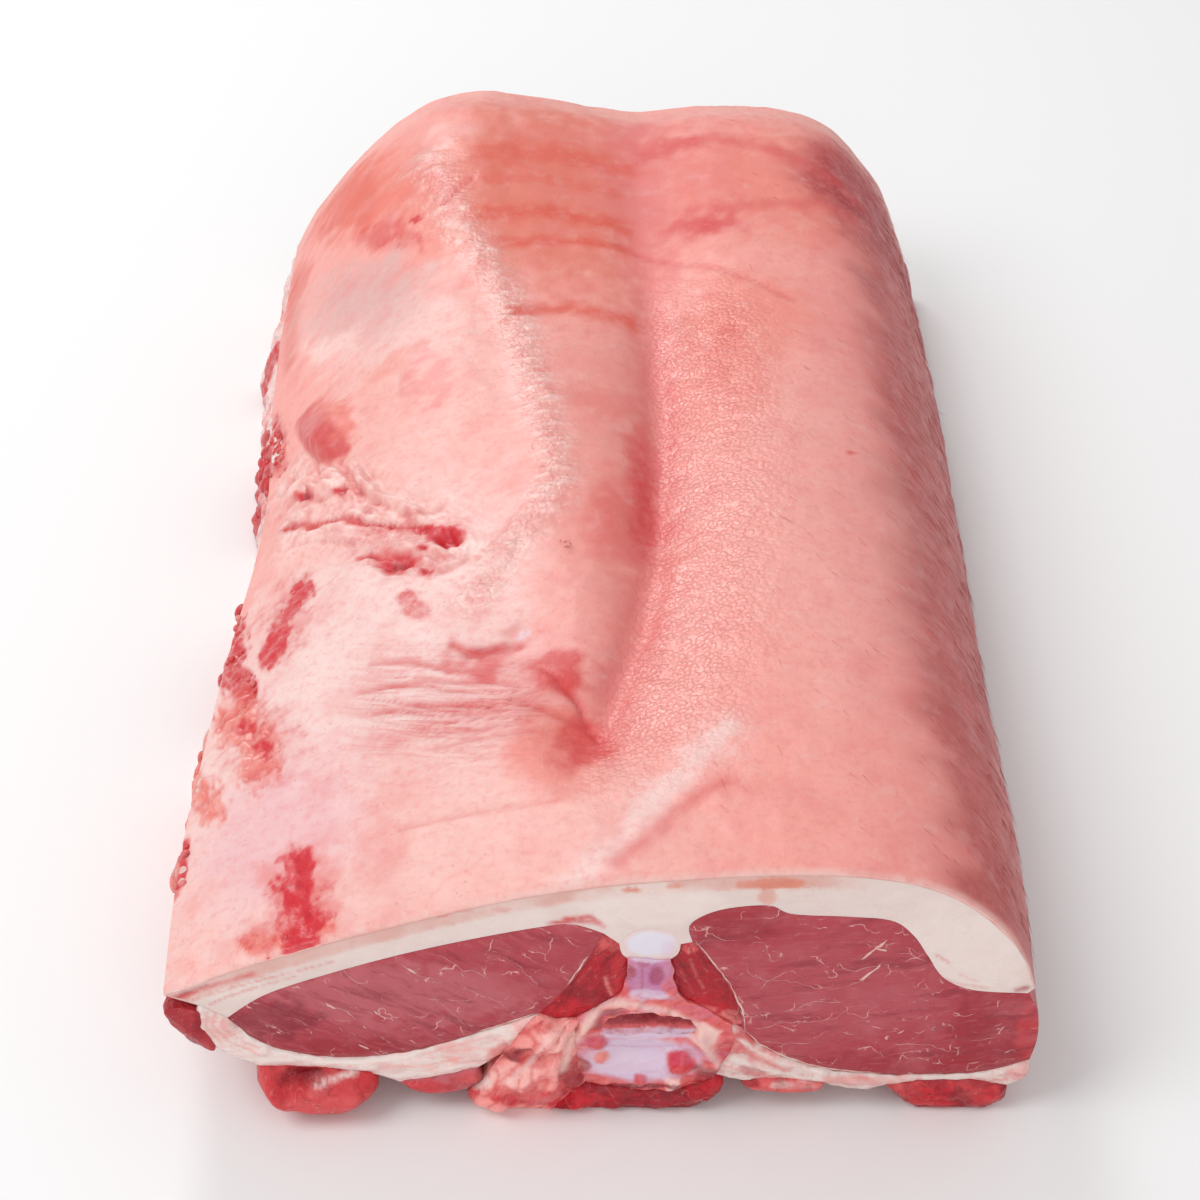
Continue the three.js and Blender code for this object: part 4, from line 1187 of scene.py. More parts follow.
def makeTissue(node, settings, seed):
    outline = settings["outline"] if "outline" in settings else outlineOf(settings, seed)
    hole = settings.get("hole")
    place = settings.get("place", carry)
    proud = settings["proud"]
    sideLump = settings.get("sideLump", 0)
    stations = settings.get("stations", cut["roughStations"] if sideLump else cut["stations"])
    at = np.linspace(-proud, length + proud, stations)
    points, faces, depths, valleys = [], [], [], []
    count = 0
    rims = [outline] if hole is None else [outline, hole[::-1]]
    ends = [[], []]
    for rim in rims:
        size = len(rim)
        first = count
        for k, y in enumerate(at):
            ring = place(rim[:, 0], rim[:, 1], np.full(size, y))
            crags, valley = cragsAt(ring, settings, seed + 7)
            if sideLump:
                out = -inwards(ring[:, [0, 2]])
                fade = smooth((y + proud) / cut["endFade"]) * smooth((length + proud - y) / cut["endFade"])
                push = sideLump * rough(ring, settings["sideSize"], seed + 5) + crags
                push = np.where(ring[:, 2] > 0.5, fade * push, 0)
                ring[:, 0] += out[:, 0] * push
                ring[:, 2] = np.maximum(ring[:, 2] + out[:, 1] * push, 0)
            points.append(ring)
            depths.append(np.zeros(size))
            valleys.append(valley * min(sideLump, 1))
            if k:
                a = count - size + np.arange(size)
                b = a + size
                faces += np.stack([a, np.roll(a, -1), np.roll(b, -1), b], -1).tolist()
            count += size
        ends[0].append(np.arange(first, first + size))
        ends[1].append(np.arange(count - size, count))
    onCut = [np.zeros(count)]
    for which, y in ((0, at[0]), (1, at[-1])):
        rings = [np.concatenate(points)[names][:, [0, 2]] for names in ends[which]]
        step = (settings.get("capStep", cut["capStep"]), cut["farCapStep"])[which]
        spots, gap, triangles = capOf(rings[0], rings[1] if len(rings) > 1 else None, step, seed + which)
        cap = np.stack([spots[:, 0], np.full(len(spots), y), spots[:, 1]], -1)
        crags, valley = cragsAt(cap, settings, seed + 7)
        swell = settings["dome"] * (1 - (1 - np.clip(gap / settings["domeOver"], 0, 1)) ** 2)
        swell += settings["lump"] * rough(cap, settings["lumpSize"], seed + 9) * smooth(gap / cut["lumpFade"])
        fade = smooth(gap / cut["cragFade"])
        swell += crags * fade
        mapX, mapZ = onMap(cap)
        for cx, cz, across, high, rise in settings.get("bumps", []):
            reach = np.hypot((mapX - cx) / across, (mapZ - cz) / high)
            swell += rise * bell(reach) * fade
        for line, width, rise in settings.get("ridges", []):
            swell += rise * bell(nearLine(mapX, mapZ, line)[0] / width) * fade
        cap[:, 1] += swell * (-1 if which == 0 else 1)
        points.append(cap)
        depths.append(gap)
        valleys.append(valley)
        onCut.append(above(gap, 1, 2))
        names = np.concatenate([*ends[which], count + np.arange(len(spots))])
        faces += names[triangles].tolist()
        count += len(spots)
    every = np.concatenate(points)
    colour = cutColour(every, settings, np.concatenate(valleys), seed + 20)
    marks = {"depth": np.concatenate(depths), "onCut": np.concatenate(onCut)}
    finish = finishes[settings["finish"]]
    return makePiece(settings["piece"], every, faces, finish, colour, marks, node)


fatLine = np.linspace(-edge + 0.01, edge - 0.01, 230)
fatRest = [
    "-rightFat", "-rightFatWedge", "-capTop", "-leftFatWedge", "-leftFat", "-leftWrap",
]


def fatOutline():
    # the skin line, left to right, then back along the top of the meat
    rest = np.concatenate([seamPoints(name) for name in fatRest])
    topLine = np.stack([fatLine, along(shownSkin, fatLine)], -1)
    return np.concatenate([topLine, rest])


def placeFat(x, z, y):
    # the top follows the underside of the skin, the rest is carried like any tissue
    inside = np.clip(y, 0, length)
    ring = carry(x, z, y)
    count = len(fatLine)
    line = skinBase(fatLine, inside[:count])
    run = np.gradient(line[:, [0, 2]], axis=0)
    run /= np.linalg.norm(run, axis=1, keepdims=True)
    drop = skinThickness(fatLine, inside[:count]) - cut["skinPress"]
    ring[:count, 0] = line[:, 0] + run[:, 1] * drop
    ring[:count, 2] = line[:, 2] - run[:, 0] * drop
    return ring


# cream arch of bone over the canal, and the canal with its ragged roof
archLine = [
    (-10.6, 27.6), (-7.2, 35.4), (-3.8, 41.8), (-0.4, 48.7), (2.9, 50), (7.2, 50.7), (11.5, 50),
    (15.8, 48), (21, 47.3), (25.9, 43.9), (30.2, 41.1), (33.2, 36.9), (34.3, 31.2), (36.9, 24.9),
    (39.4, 20.7),
]
canalRing = turnedLeft(closedCurve(canal, 72))
canalRough = noise(flat(*canalRing.T), 2.6, 5) * above(canalRing[:, 1], 38, 4)
canalRing = canalRing - inwards(canalRing) * canalRough[:, None]

# what several tissues have alike
eyeMuscle = {
    "proud": -0.3, "dome": 1.2, "domeOver": 5, "lump": 0.5, "lumpSize": 9, "tone": "eye", "slot": "loin_meat",
}
darkWedge = {
    "proud": -0.8, "dome": 0.8, "domeOver": 4, "lump": 0.8, "lumpSize": 6, "wobble": 0.8, "capStep": 0.8,
    "tone": "darkMeat", "slot": "dark_meat",
}
redStrip = {"proud": 0.3, "wobble": 0.5, "sideSize": 11, "finish": "red", "slot": "red_meat"}
whiteSheet = {
    "proud": 0.3, "dome": 1.0, "domeOver": 3, "lumpSize": 6, "sideLump": 1.0, "sideSize": 16,
    "finish": "lining", "slot": "lining",
}
# Each tissue has the seams round it, how its cut face swells in mm, and its look
# patches: x, z, half width, half height, tone, strength, raggedness
# streaks: line, half width, tone, strength
# bumps: x, z, half width, half height, height, and ridges: line, half width, height
# crag: height, size, tone of the valleys, its strength, turn, stretch
# calm: x, z, half width, half height of places without crags
tissues = {
    "back_fat_and_skin": {
        "piece": "back_fat", "outline": fatOutline(), "place": placeFat, "stations": 40,
        "proud": 0, "dome": 0.1, "domeOver": 3, "lump": 0.25, "lumpSize": 7,
        "tone": "fat", "finish": "fat", "slot": "skin_and_fat", "rindTo": 88,
        "patches": [
            (-125, 57, 18, 5, "whiteFat", 0.5, 0.4), (115, 70, 20, 20, "whiteFat", 0.6, 0.4),
            (15, 95, 22, 9, "whiteFat", 0.7, 0.3),
            (54, 103.6, 11, 2.2, "stain", 0.85, 0.6), (53, 98, 3, 3.5, "stain", 0.5, 0.8),
            (10, 101, 3, 1.2, "stain", 0.8, 0.6), (24, 103, 2.5, 1, "stain", 0.7, 0.6),
            (-50, 90, 3, 0.9, "flush", 0.7, 0.3), (-31, 92.5, 3, 0.9, "flush", 0.6, 0.3),
            (-42, 92, 2, 0.7, "flush", 0.5, 0.3),
        ],
        "streaks": [
            ([(-139, 51.5), (-124, 58.8), (-112, 63.5)], 1.3, "flush", 0.85),
            ([(-138, 53), (-127, 58.5)], 0.7, "redEye", 0.7),
            ([(-16, 86.4), (-8, 87.6), (-1, 86.4)], 1.0, "lobe", 0.9),
            ([(-11, 88.6), (-3, 89.2), (1, 85)], 1.0, "lobe", 0.85),
            ([(-132, 51.5), (-117, 58), (-100, 64), (-86, 69)], 0.4, "flush", 0.5),
            ([(-127, 49.5), (-121, 53), (-111, 57.5), (-98, 62.5)], 0.4, "flush", 0.45),
            ([(-130, 53.5), (-120, 58.5), (-108, 63)], 0.4, "rind", 0.8),
            ([(103, 66), (113, 59.5), (125, 57)], 0.6, "rind", 0.8),
            ([(108, 72), (113, 68)], 0.5, "flush", 0.5), ([(116, 63), (122, 60)], 0.4, "flush", 0.4),
            ([(135, 56), (138, 57)], 1.2, "redEye", 0.9),
        ],
    },
    "left_loin_eye": eyeMuscle | {
        "piece": "loin_eye_left", "ring": ["leftFat", "leftEyeWedge", "leftEyeFloor"],
        "finish": "eyeLeft",
        "patches": [
            (-65, 54, 40, 13, "dustyEye", 0.8, 0.7), (-106, 42, 14, 8, "darkEye", 0.8, 0.7),
            (-70, 29, 34, 4.5, "redEye", 0.8, 0.6), (-15, 70, 22, 14, "eye", 0.6, 0.6),
        ],
    },
    "right_loin_eye": eyeMuscle | {
        "piece": "loin_eye_right",
        "ring": ["rightFat", "-rightEyeSide", "-rightEyeFloor", "-rightEyeWedge"],
        "sideLump": 0.8, "sideSize": 14, "finish": "eyeRight",
        "patches": [
            (75, 55, 30, 22, "dustyEye", 0.25, 0.7), (132, 35, 16, 24, "redEye", 0.85, 0.5),
            (100, 21, 40, 6, "redEye", 0.7, 0.6), (42, 86, 16, 8, "redEye", 0.7, 0.6),
            (141, 40, 4, 16, "lobe", 0.6, 0.5),
        ],
    },
    "left_multifidus": darkWedge | {
        "piece": "multifidus_left", "crag": (0.9, 4, "spine", 0.5, 62, 3), "finish": "darkLeft",
        "ring": [
            "leftFatWedge", "leftCapWedge", "leftWedgeBone", "leftWedgeTrim",
            "-leftEyeWedge",
        ],
        "patches": [
            (-13, 48.5, 9, 5, "brightMeat", 0.9, 0.7), (3.3, 77, 4.5, 4, "lobePink", 0.85, 0.6),
            (6, 62, 3, 9, "lobe", 0.5, 0.7), (0, 66, 3, 5, "brightMeat", 0.5, 0.8),
        ],
        "streaks": [
            ([(1.5, 62), (3.5, 54)], 0.5, "trim", 0.7), ([(-7, 60), (-3, 66)], 0.4, "lobePink", 0.7),
        ],
    },
    "right_multifidus": darkWedge | {
        "piece": "multifidus_right", "crag": (0.9, 4, "spine", 0.5, -58, 3), "finish": "darkRight",
        "ring": [
            "rightFatWedge", "rightEyeWedge", "-rightWedgeFoot", "-rightWedgeBone",
            "rightCapWedge",
        ],
        "patches": [
            (35, 47, 8, 6, "brightMeat", 0.8, 0.8), (29.5, 76, 3, 2.6, "lobePink", 0.8, 0.7),
            (42, 43, 4, 3, "trim", 0.7, 0.9), (33, 47, 4, 2, "trim", 0.6, 0.9),
        ],
        "streaks": [
            ([(26, 66), (27.5, 61), (30, 55)], 0.4, "lobePink", 0.6),
            ([(29, 70), (31, 63), (33.5, 57)], 0.4, "trim", 0.4),
        ],
    },
    "spine_cartilage": {
        "piece": "cartilage_cap", "capStep": 0.7,
        "ring": ["capTop", "-rightCapWedge", "-capBone", "-leftCapWedge"],
        "proud": 0, "dome": 0.2, "domeOver": 6, "lump": 0.1, "lumpSize": 6,
        "tone": "fat", "finish": "cartilage", "slot": "cartilage",
        "patches": [
            (16.2, 77, 9.5, 7, "arch", 0.5, 0.4), (16.2, 77.3, 7.6, 5.4, "cartilage", 1.0, 0.12),
            (22, 75, 2.5, 3, "lilac", 0.5, 0.5),
        ],
    },
    "backbone": {
        "piece": "vertebra", "wobble": 0.9, "capStep": 0.75,
        "ring": [
            "capBone", "rightWedgeBone", "-rightBoneSide", "-boneFloor", "-leftBoneSide",
            "-leftWedgeBone",
        ],
        "hole": canalRing,
        "proud": 0.5, "dome": 0.4, "domeOver": 3, "lump": 0.5, "lumpSize": 6,
        "crag": (1.6, 4, "blood", 0.5, 10, 2),
        "calm": [(14, 26, 18, 12), (16, 64, 6, 9), (35, 34, 4, 6)],
        "tone": "lobePink", "finish": "bone", "slot": "bone",
        "bumps": [
            (26.4, 22, 4.5, 5, 4), (-1.2, 32, 3, 3.4, 2.5), (35, 34, 4, 6, 1.5), (12, 27, 11, 5, -3),
            (37, 16, 5, 4, 2.5), (13.4, 14, 2.2, 2.4, 2.5), (0.5, 24.5, 3, 2.4, 1.6), (24.5, 12, 3, 4, 2.5),
        ],
        "ridges": [(archLine, 2.0, 1.6)],
        "patches": [
            (15.5, 63, 7.6, 9.5, "stalk", 0.95, 0.4), (18.3, 62.3, 2.4, 4.2, "stalkDark", 0.9, 0.4),
            (13.7, 68.5, 1.5, 1.8, "stalkDark", 0.8, 0.4), (8.8, 64.3, 2.8, 3.4, "redEye", 0.8, 0.5),
            (15.5, 71, 6, 1.8, "lilac", 0.9, 0.3), (16.2, 53.6, 7, 2.6, "lilac", 0.85, 0.6),
            (13.4, 46.4, 5, 2, "trim", 0.9, 0.7), (-1.2, 41.2, 2.6, 3.8, "redEye", 0.85, 0.5),
            (4, 45.6, 5, 1.8, "redEye", 0.9, 0.7),
            (26, 41.5, 4, 1.4, "redEye", 0.7, 0.6), (13.5, 23.5, 18.5, 10.5, "lilac", 1.0, 0.2),
            (14, 35.2, 17, 1.8, "lilac", 0.9, 0.3), (42, 28, 2.6, 6, "brightMeat", 0.85, 0.8),
            (-1.2, 32, 3, 3.8, "lobe", 0.95, 0.5), (0.5, 24.3, 3, 2.7, "orangeMeat", 0.9, 0.7),
            (26.4, 22, 4.8, 5.8, "blood", 0.98, 0.4), (36.2, 15.6, 5.4, 5, "deepRed", 0.9, 0.6),
            (24.5, 10.8, 3, 4, "paleTrim", 0.85, 0.6), (13.4, 13.6, 2.2, 2.8, "blood", 0.85, 0.6),
            (-7, 20.5, 3.4, 3.6, "redEye", 0.9, 0.6), (10, 10.6, 22, 1.2, "spine", 0.9, 0.6),
            (34.8, 34.8, 4.2, 5.4, "paleTrim", 0.95, 0.5),
        ],
        "streaks": [
            (archLine, 1.7, "arch", 1.0), ([(13.6, 66), (13.6, 57)], 0.4, "stalkDark", 0.7),
            ([(2, 30), (14, 28.5), (24, 30)], 0.5, "stalk", 0.4),
        ],
    },
    "left_lining": whiteSheet | {
        "piece": "lining_left", "wobble": 0.5,
        "ring": [
            "leftWrap", "-leftEyeFloor", "-trimLining", "-leftLiningHeel", "-leftStripTop", "-leftLiningGap",
            "-lobeTop", "-leftLiningSide",
        ],
        "lump": 0.6, "crag": (1.1, 4, "trim", 0.35, 8, 6), "tone": "whiteFat",
        "patches": [
            (-32, 26.5, 6, 4, "flush", 0.7, 0.8), (-25, 38, 4, 6, "trim", 0.7, 0.8),
            (-126, 40, 6, 10, "fat", 0.6, 0.5), (-70, 19, 5, 2.5, "hollow", 0.5, 0.6),
            (-44, 25, 7, 3, "lobePink", 0.25, 0.9),
        ],
        "streaks": [
            ([(-122, 45), (-124, 40), (-119, 33), (-109, 27)], 0.5, "lobePink", 0.5),
            ([(-125, 46), (-127, 40), (-122, 32), (-111, 25)], 0.5, "lobePink", 0.45),
            ([(-128, 46), (-129, 39), (-124, 30)], 0.6, "rind", 0.8),
            ([(-60, 25.5), (-48, 30), (-36, 35)], 0.7, "lobePink", 0.4),
            ([(-72, 20), (-58, 20), (-46, 24)], 0.6, "trim", 0.6),
        ],
    },
    "right_lining": whiteSheet | {
        "piece": "lining_right", "wobble": 0.7,
        "ring": [
            "rightWedgeFoot", "rightEyeFloor", "rightLiningTip", "rightStripTop", "rightLiningGap",
            "innerStripTop", "rightLiningHeel", "rightBoneSide",
        ],
        "lump": 0.7, "crag": (1.2, 4, "lobePink", 0.6, -14, 5), "tone": "fat",
        "patches": [
            (46, 31, 5, 7, "brightMeat", 0.85, 0.9), (55, 25, 6, 4, "lobePink", 0.75, 0.9),
            (50, 18, 4, 3, "darkMeat", 0.7, 0.9), (85, 13, 14, 2, "lobePink", 0.5, 0.8),
            (139, 18, 4, 5, "lobePink", 0.5, 0.6), (60, 20, 7, 2, "hollow", 0.5, 0.7),
        ],
        "streaks": [
            ([(46, 33), (52, 27), (60, 22), (74, 17)], 0.8, "whiteFat", 0.9),
            ([(46, 28), (53, 23), (62, 18)], 0.7, "flush", 0.7),
            ([(45, 23), (54, 19), (66, 15)], 0.7, "whiteFat", 0.9),
            ([(42, 20), (50, 17), (60, 14.5)], 0.6, "flush", 0.7),
            ([(120, 17), (132, 18), (139, 21)], 0.8, "whiteFat", 0.8),
        ],
    },
    "left_lobe": {
        "piece": "lobe", "ring": ["lobeTop", "lobeFloor"], "capStep": 0.9,
        "proud": 1, "dome": 9, "domeOver": 9, "lump": 0.9, "lumpSize": 9, "sideLump": 1.6, "sideSize": 15,
        "tone": "lobe", "finish": "red", "slot": "red_meat",
        "bumps": [(-98, 18, 8, 3.4, -6.5), (-108, 12, 3, 6, 2)],
        "patches": [
            (-90, 4, 14, 5, "lobePink", 0.4, 0.6), (-98, 15.5, 9, 4.2, "darkMeat", 0.98, 0.5),
            (-97, 16.5, 6, 2.4, "deepRed", 0.7, 0.6),
        ],
        "streaks": [([(-94.5, 11.5), (-89, 14.5), (-82, 17.5)], 1.1, "whiteFat", 0.95)],
    },
    "left_strip": redStrip | {
        "piece": "strip_left", "ring": ["leftStripTop", "leftStripFloor"], "tone": "dustyEye",
        "dome": 1.6, "domeOver": 3, "lump": 0.8, "lumpSize": 5, "sideLump": 1.2,
        "patches": [(-58, 10, 10, 3, "lobe", 0.9, 0.6), (-45, 14, 6, 3, "flush", 0.6, 0.6)],
    },
    "right_strip": redStrip | {
        "piece": "strip_right", "ring": ["rightStripTop", "rightStripFloor"], "wobble": 0.6, "capStep": 0.9,
        "dome": 2, "domeOver": 4, "lump": 1.2, "lumpSize": 6, "sideLump": 1.4,
        "crag": (1.3, 5, "deepRed", 0.6, 0, 3), "tone": "darkMeat",
        "patches": [
            (118, 6, 16, 6, "brightMeat", 0.9, 0.6), (122, 4, 5, 4, "deepRed", 0.7, 0.8),
            (131, 6, 3, 4, "blood", 0.8, 0.8), (98, 10, 4, 2, "lobePink", 0.6, 0.8),
        ],
    },
    "right_inner_strip": redStrip | {
        "piece": "strip_inner", "ring": ["innerStripTop", "innerStripFloor"], "capStep": 0.8,
        "dome": 1.5, "domeOver": 3, "lump": 0.8, "lumpSize": 5, "sideLump": 1.0, "sideSize": 9,
        "crag": (1.0, 5, "flush", 0.6, 0, 3), "tone": "lobePink",
        "patches": [(50, 12, 4, 2.5, "darkMeat", 0.8, 0.7), (66, 11, 7, 2, "fat", 0.6, 0.7)],
    },
    "left_trim": {
        "piece": "trim_left", "wobble": 0.8, "capStep": 0.8,
        "ring": ["leftWedgeTrim", "-trimLining", "-trimFloor", "-trimSpine", "-leftBoneSide"],
        "proud": 0.8, "dome": 3.5, "domeOver": 8, "lump": 1.6, "lumpSize": 8, "sideLump": 2.0, "sideSize": 12,
        "crag": (3.4, 5, "flush", 0.75, 48, 2.6), "tone": "trim", "finish": "trim", "slot": "trimmings",
        "bumps": [
            (-22, 14, 10, 6, 3.5), (-15, 36, 5, 4, 2.5), (-37, 9, 6, 5, 3), (-29, 24, 4, 3, -3.5),
            (-14, 24, 4, 5, 2),
        ],
        "patches": [
            (-29, 17, 9, 5, "paleTrim", 0.45, 0.8), (-14, 35, 5, 7, "paleTrim", 0.5, 0.8),
            (-20, 6, 20, 5, "blood", 0.98, 0.7), (-45, 7, 6, 5, "brightMeat", 0.9, 0.8),
            (-40, 13, 4, 3, "whiteFat", 0.9, 0.6), (-27, 26, 6, 3, "deepRed", 0.9, 0.7),
            (-10, 17, 5, 8, "darkMeat", 0.95, 0.7), (-20, 24, 5, 3, "flush", 0.8, 0.9),
            (-32, 10, 3, 2.5, "flush", 0.8, 0.8), (-18, 40, 4, 3, "flush", 0.7, 0.9),
        ],
        "streaks": [
            ([(-35, 12), (-26, 22), (-20, 32)], 0.9, "flush", 0.6),
            ([(-26, 9), (-18, 18), (-14, 28)], 0.8, "flush", 0.6),
            ([(-30, 14), (-22, 24), (-17, 34)], 0.9, "whiteFat", 0.5),
            ([(-12, 20), (-10.6, 27.6), (-8, 35.4)], 1.5, "arch", 0.9),
        ],
    },
    "spine_trim": {
        "piece": "trim_spine", "wobble": 0.7, "capStep": 0.8,
        "ring": ["boneFloor", "spineFloor", "-trimSpine"],
        "proud": 0.5, "dome": 2.5, "domeOver": 5, "lump": 1.5, "lumpSize": 7, "sideLump": 1.6, "sideSize": 12,
        "crag": (1.8, 5, "deepRed", 0.5, 8, 3), "tone": "darkMeat", "finish": "darkFoot", "slot": "dark_meat",
        "patches": [(-9, 4, 10, 5, "blood", 0.9, 0.8), (36, 11, 6, 5, "brightMeat", 0.8, 0.8)],
    },
    "canal_tissue": {
        "piece": "canal_flesh", "outline": canalRing, "capStep": 0.8,
        "proud": 0.5, "dome": 0, "domeOver": 4, "lump": 0.4, "lumpSize": 4,
        "bumps": [(15, 44.5, 18, 4.2, -5)],
        "tone": "redEye", "finish": "red", "slot": "dark_meat",
        "patches": [
            # the deepRed band along the top is painted shadow under the canal's ragged roof
            (15, 47.5, 18, 3, "deepRed", 0.85, 0.5), (15, 38.8, 18, 1.5, "lobePink", 0.75, 0.3),
            (15, 36.8, 18, 1.6, "lilac", 0.8, 0.3), (15, 34.6, 18, 1.2, "lilac", 0.9, 0.2),
        ],
    },
}
pieces = {}
for seed, (node, settings) in enumerate(tissues.items()):
    pieces[node] = makeTissue(node, settings, 100 + 40 * seed)
    print("made", settings["piece"], len(pieces[node].data.polygons), "faces")

# Flank meat under the left edge of the skin
flank = {
    "piece": "flank_meat",
    "shown": [
        (-137.5, 49), (-138.8, 45), (-137.6, 40.5), (-134.5, 36), (-130.5, 32),
        (-126, 28.6), (-124.5, 30.5), (-126, 35), (-128, 40), (-129, 47),
    ],
    "full": [
        (-138, 49), (-141, 40), (-143.5, 25), (-145.5, 9), (-144.5, 0),
        (-119, 0), (-117, 9), (-123, 22), (-132.2, 36), (-130, 47),
    ],
    "fullAt": 150,
    "inset": -1.2,
    "stations": 300,
    "ringSize": 90,
    # y, height, radius of the lumps on the outer side
    "lumps": [
        (73, 4, 10), (96, 2.5, 7), (118, 4, 10), (144, 3, 8), (200, 3, 14), (228, 1.5, 10),
        (322, 2.5, 10), (346, 2, 9), (436, 4.5, 20),
    ],
    # y, half length, tone, beads
    "zones": [
        (8, 22, "darkMeat", 0), (59, 10, "blood", 1), (85, 20, "orangeMeat", 0.3),
        (131, 26, "orangeMeat", 0.3), (212, 32, "lobe", 0.6), (334, 26, "lobe", 1), (424, 9, "lobe", 0.2),
    ],
    "lumpShare": 0.75,
    "bundle": 4, "bundleSize": 13, "grain": 1.6, "grainSize": 5.5, "wave": 1.2, "waveSize": 10,
    "tip": 2,               # the ends stand out by this
    "clear": 5,             # no bead lies lower than this
}


def makeFlank():
    count = flank["ringSize"]
    spans = len(flank["shown"])
    share = np.linspace(0, spans, count, endpoint=False)
    first = share.astype(int)
    t = (share - first)[:, None]
    rings = [np.array(flank[key], float) for key in ("shown", "full")]
    shown, full = (curveSpan(*(ring[(first + k) % spans] for k in (-1, 0, 1, 2)), t) for ring in rings)
    at = np.linspace(flank["inset"], length - flank["inset"], flank["stations"])
    outer = smooth(share / 0.8) * below(share, 4.6, 0.6)
    points, faces = [], []
    for k, y in enumerate(at):
        base = shown + (full - shown) * smooth(y / flank["fullAt"])
        ring = carry(base[:, 0], base[:, 1], np.full(count, y))
        out = sum(high * bell((y - where) / radius) for where, high, radius in flank["lumps"])
        grain = flank["bundle"] * (0.55 - pebbles(ring, flank["bundleSize"], 301))
        grain += flank["grain"] * (0.5 - pebbles(ring, flank["grainSize"], 302))
        ring[:, 0] -= outer * (out * flank["lumpShare"] + grain)
        wave = outer * flank["wave"] * noise(ring, flank["waveSize"], 303)
        ring[:, 2] = np.maximum(ring[:, 2] + wave * (ring[:, 2] > 1), 0)
        points.append(ring)
        if k:
            a = (k - 1) * count + np.arange(count)
            b = a + count
            faces += np.stack([a, np.roll(a, -1), np.roll(b, -1), b], -1).tolist()
    every = np.concatenate(points)
    total = len(every)
    for k, start in ((0, 0), (1, total - count)):
        names = start + np.arange(count)
        faces += np.stack([names, np.roll(names, -1), np.full(count, total + k)], -1).tolist()
    tip = (0, flank["tip"], 0)
    tips = [every[:count].mean(0) - tip, every[-count:].mean(0) + tip]
    every = np.concatenate([every, tips])
    colour = np.zeros((len(every), 3)) + tone("pale")
    ragged = rough(every, 12, 311)
    tint(colour, above(ragged, 0.1, 0.4) * 0.8, "trim")
    beads = np.zeros(len(every))
    for where, half, name, beady in flank["zones"]:
        zone = smooth((1.2 - np.abs(every[:, 1] - where) / half + 0.7 * ragged) / 0.5)
        tint(colour, zone, name)
        beads = np.maximum(beads, zone * beady)
    tint(colour, above(pebbles(every, flank["grainSize"], 302), 0.55, 0.3) * 0.4, "flush")
    beads[:total] *= np.tile(outer, flank["stations"])
    beads *= above(every[:, 2], flank["clear"], flank["clear"])
    marks = {"depth": np.zeros(len(every)), "beads": beads}
    return makePiece(
        flank["piece"], every, faces, finishes["red"], colour, marks, "left_flank_meat",
    )


flankPiece = makeFlank()
print("flank made:", len(flankPiece.data.polygons), "faces")


# Scattered grains and hairs, and threads of membrane, by Geometry Nodes
def newTree(name, sockets):
    tree = bpy.data.node_groups.new(name, "GeometryNodeTree")
    for label, kind in sockets.items():
        tree.interface.new_socket(name=label, in_out="INPUT", socket_type="NodeSocket" + kind)
    tree.interface.new_socket(name="made", in_out="OUTPUT", socket_type="NodeSocketGeometry")
    return tree, addNode(tree, "NodeGroupInput").outputs


def closeTree(tree, made, finish):
    made = outOf(tree, "GeometryNodeRealizeInstances", {"Geometry": made})
    made = outOf(tree, "GeometryNodeSetShadeSmooth", {"Geometry": made})
    made = outOf(tree, "GeometryNodeSetMaterial", {"Geometry": made, "Material": finish})
    addNode(tree, "NodeGroupOutput", {0: made})
    return tree


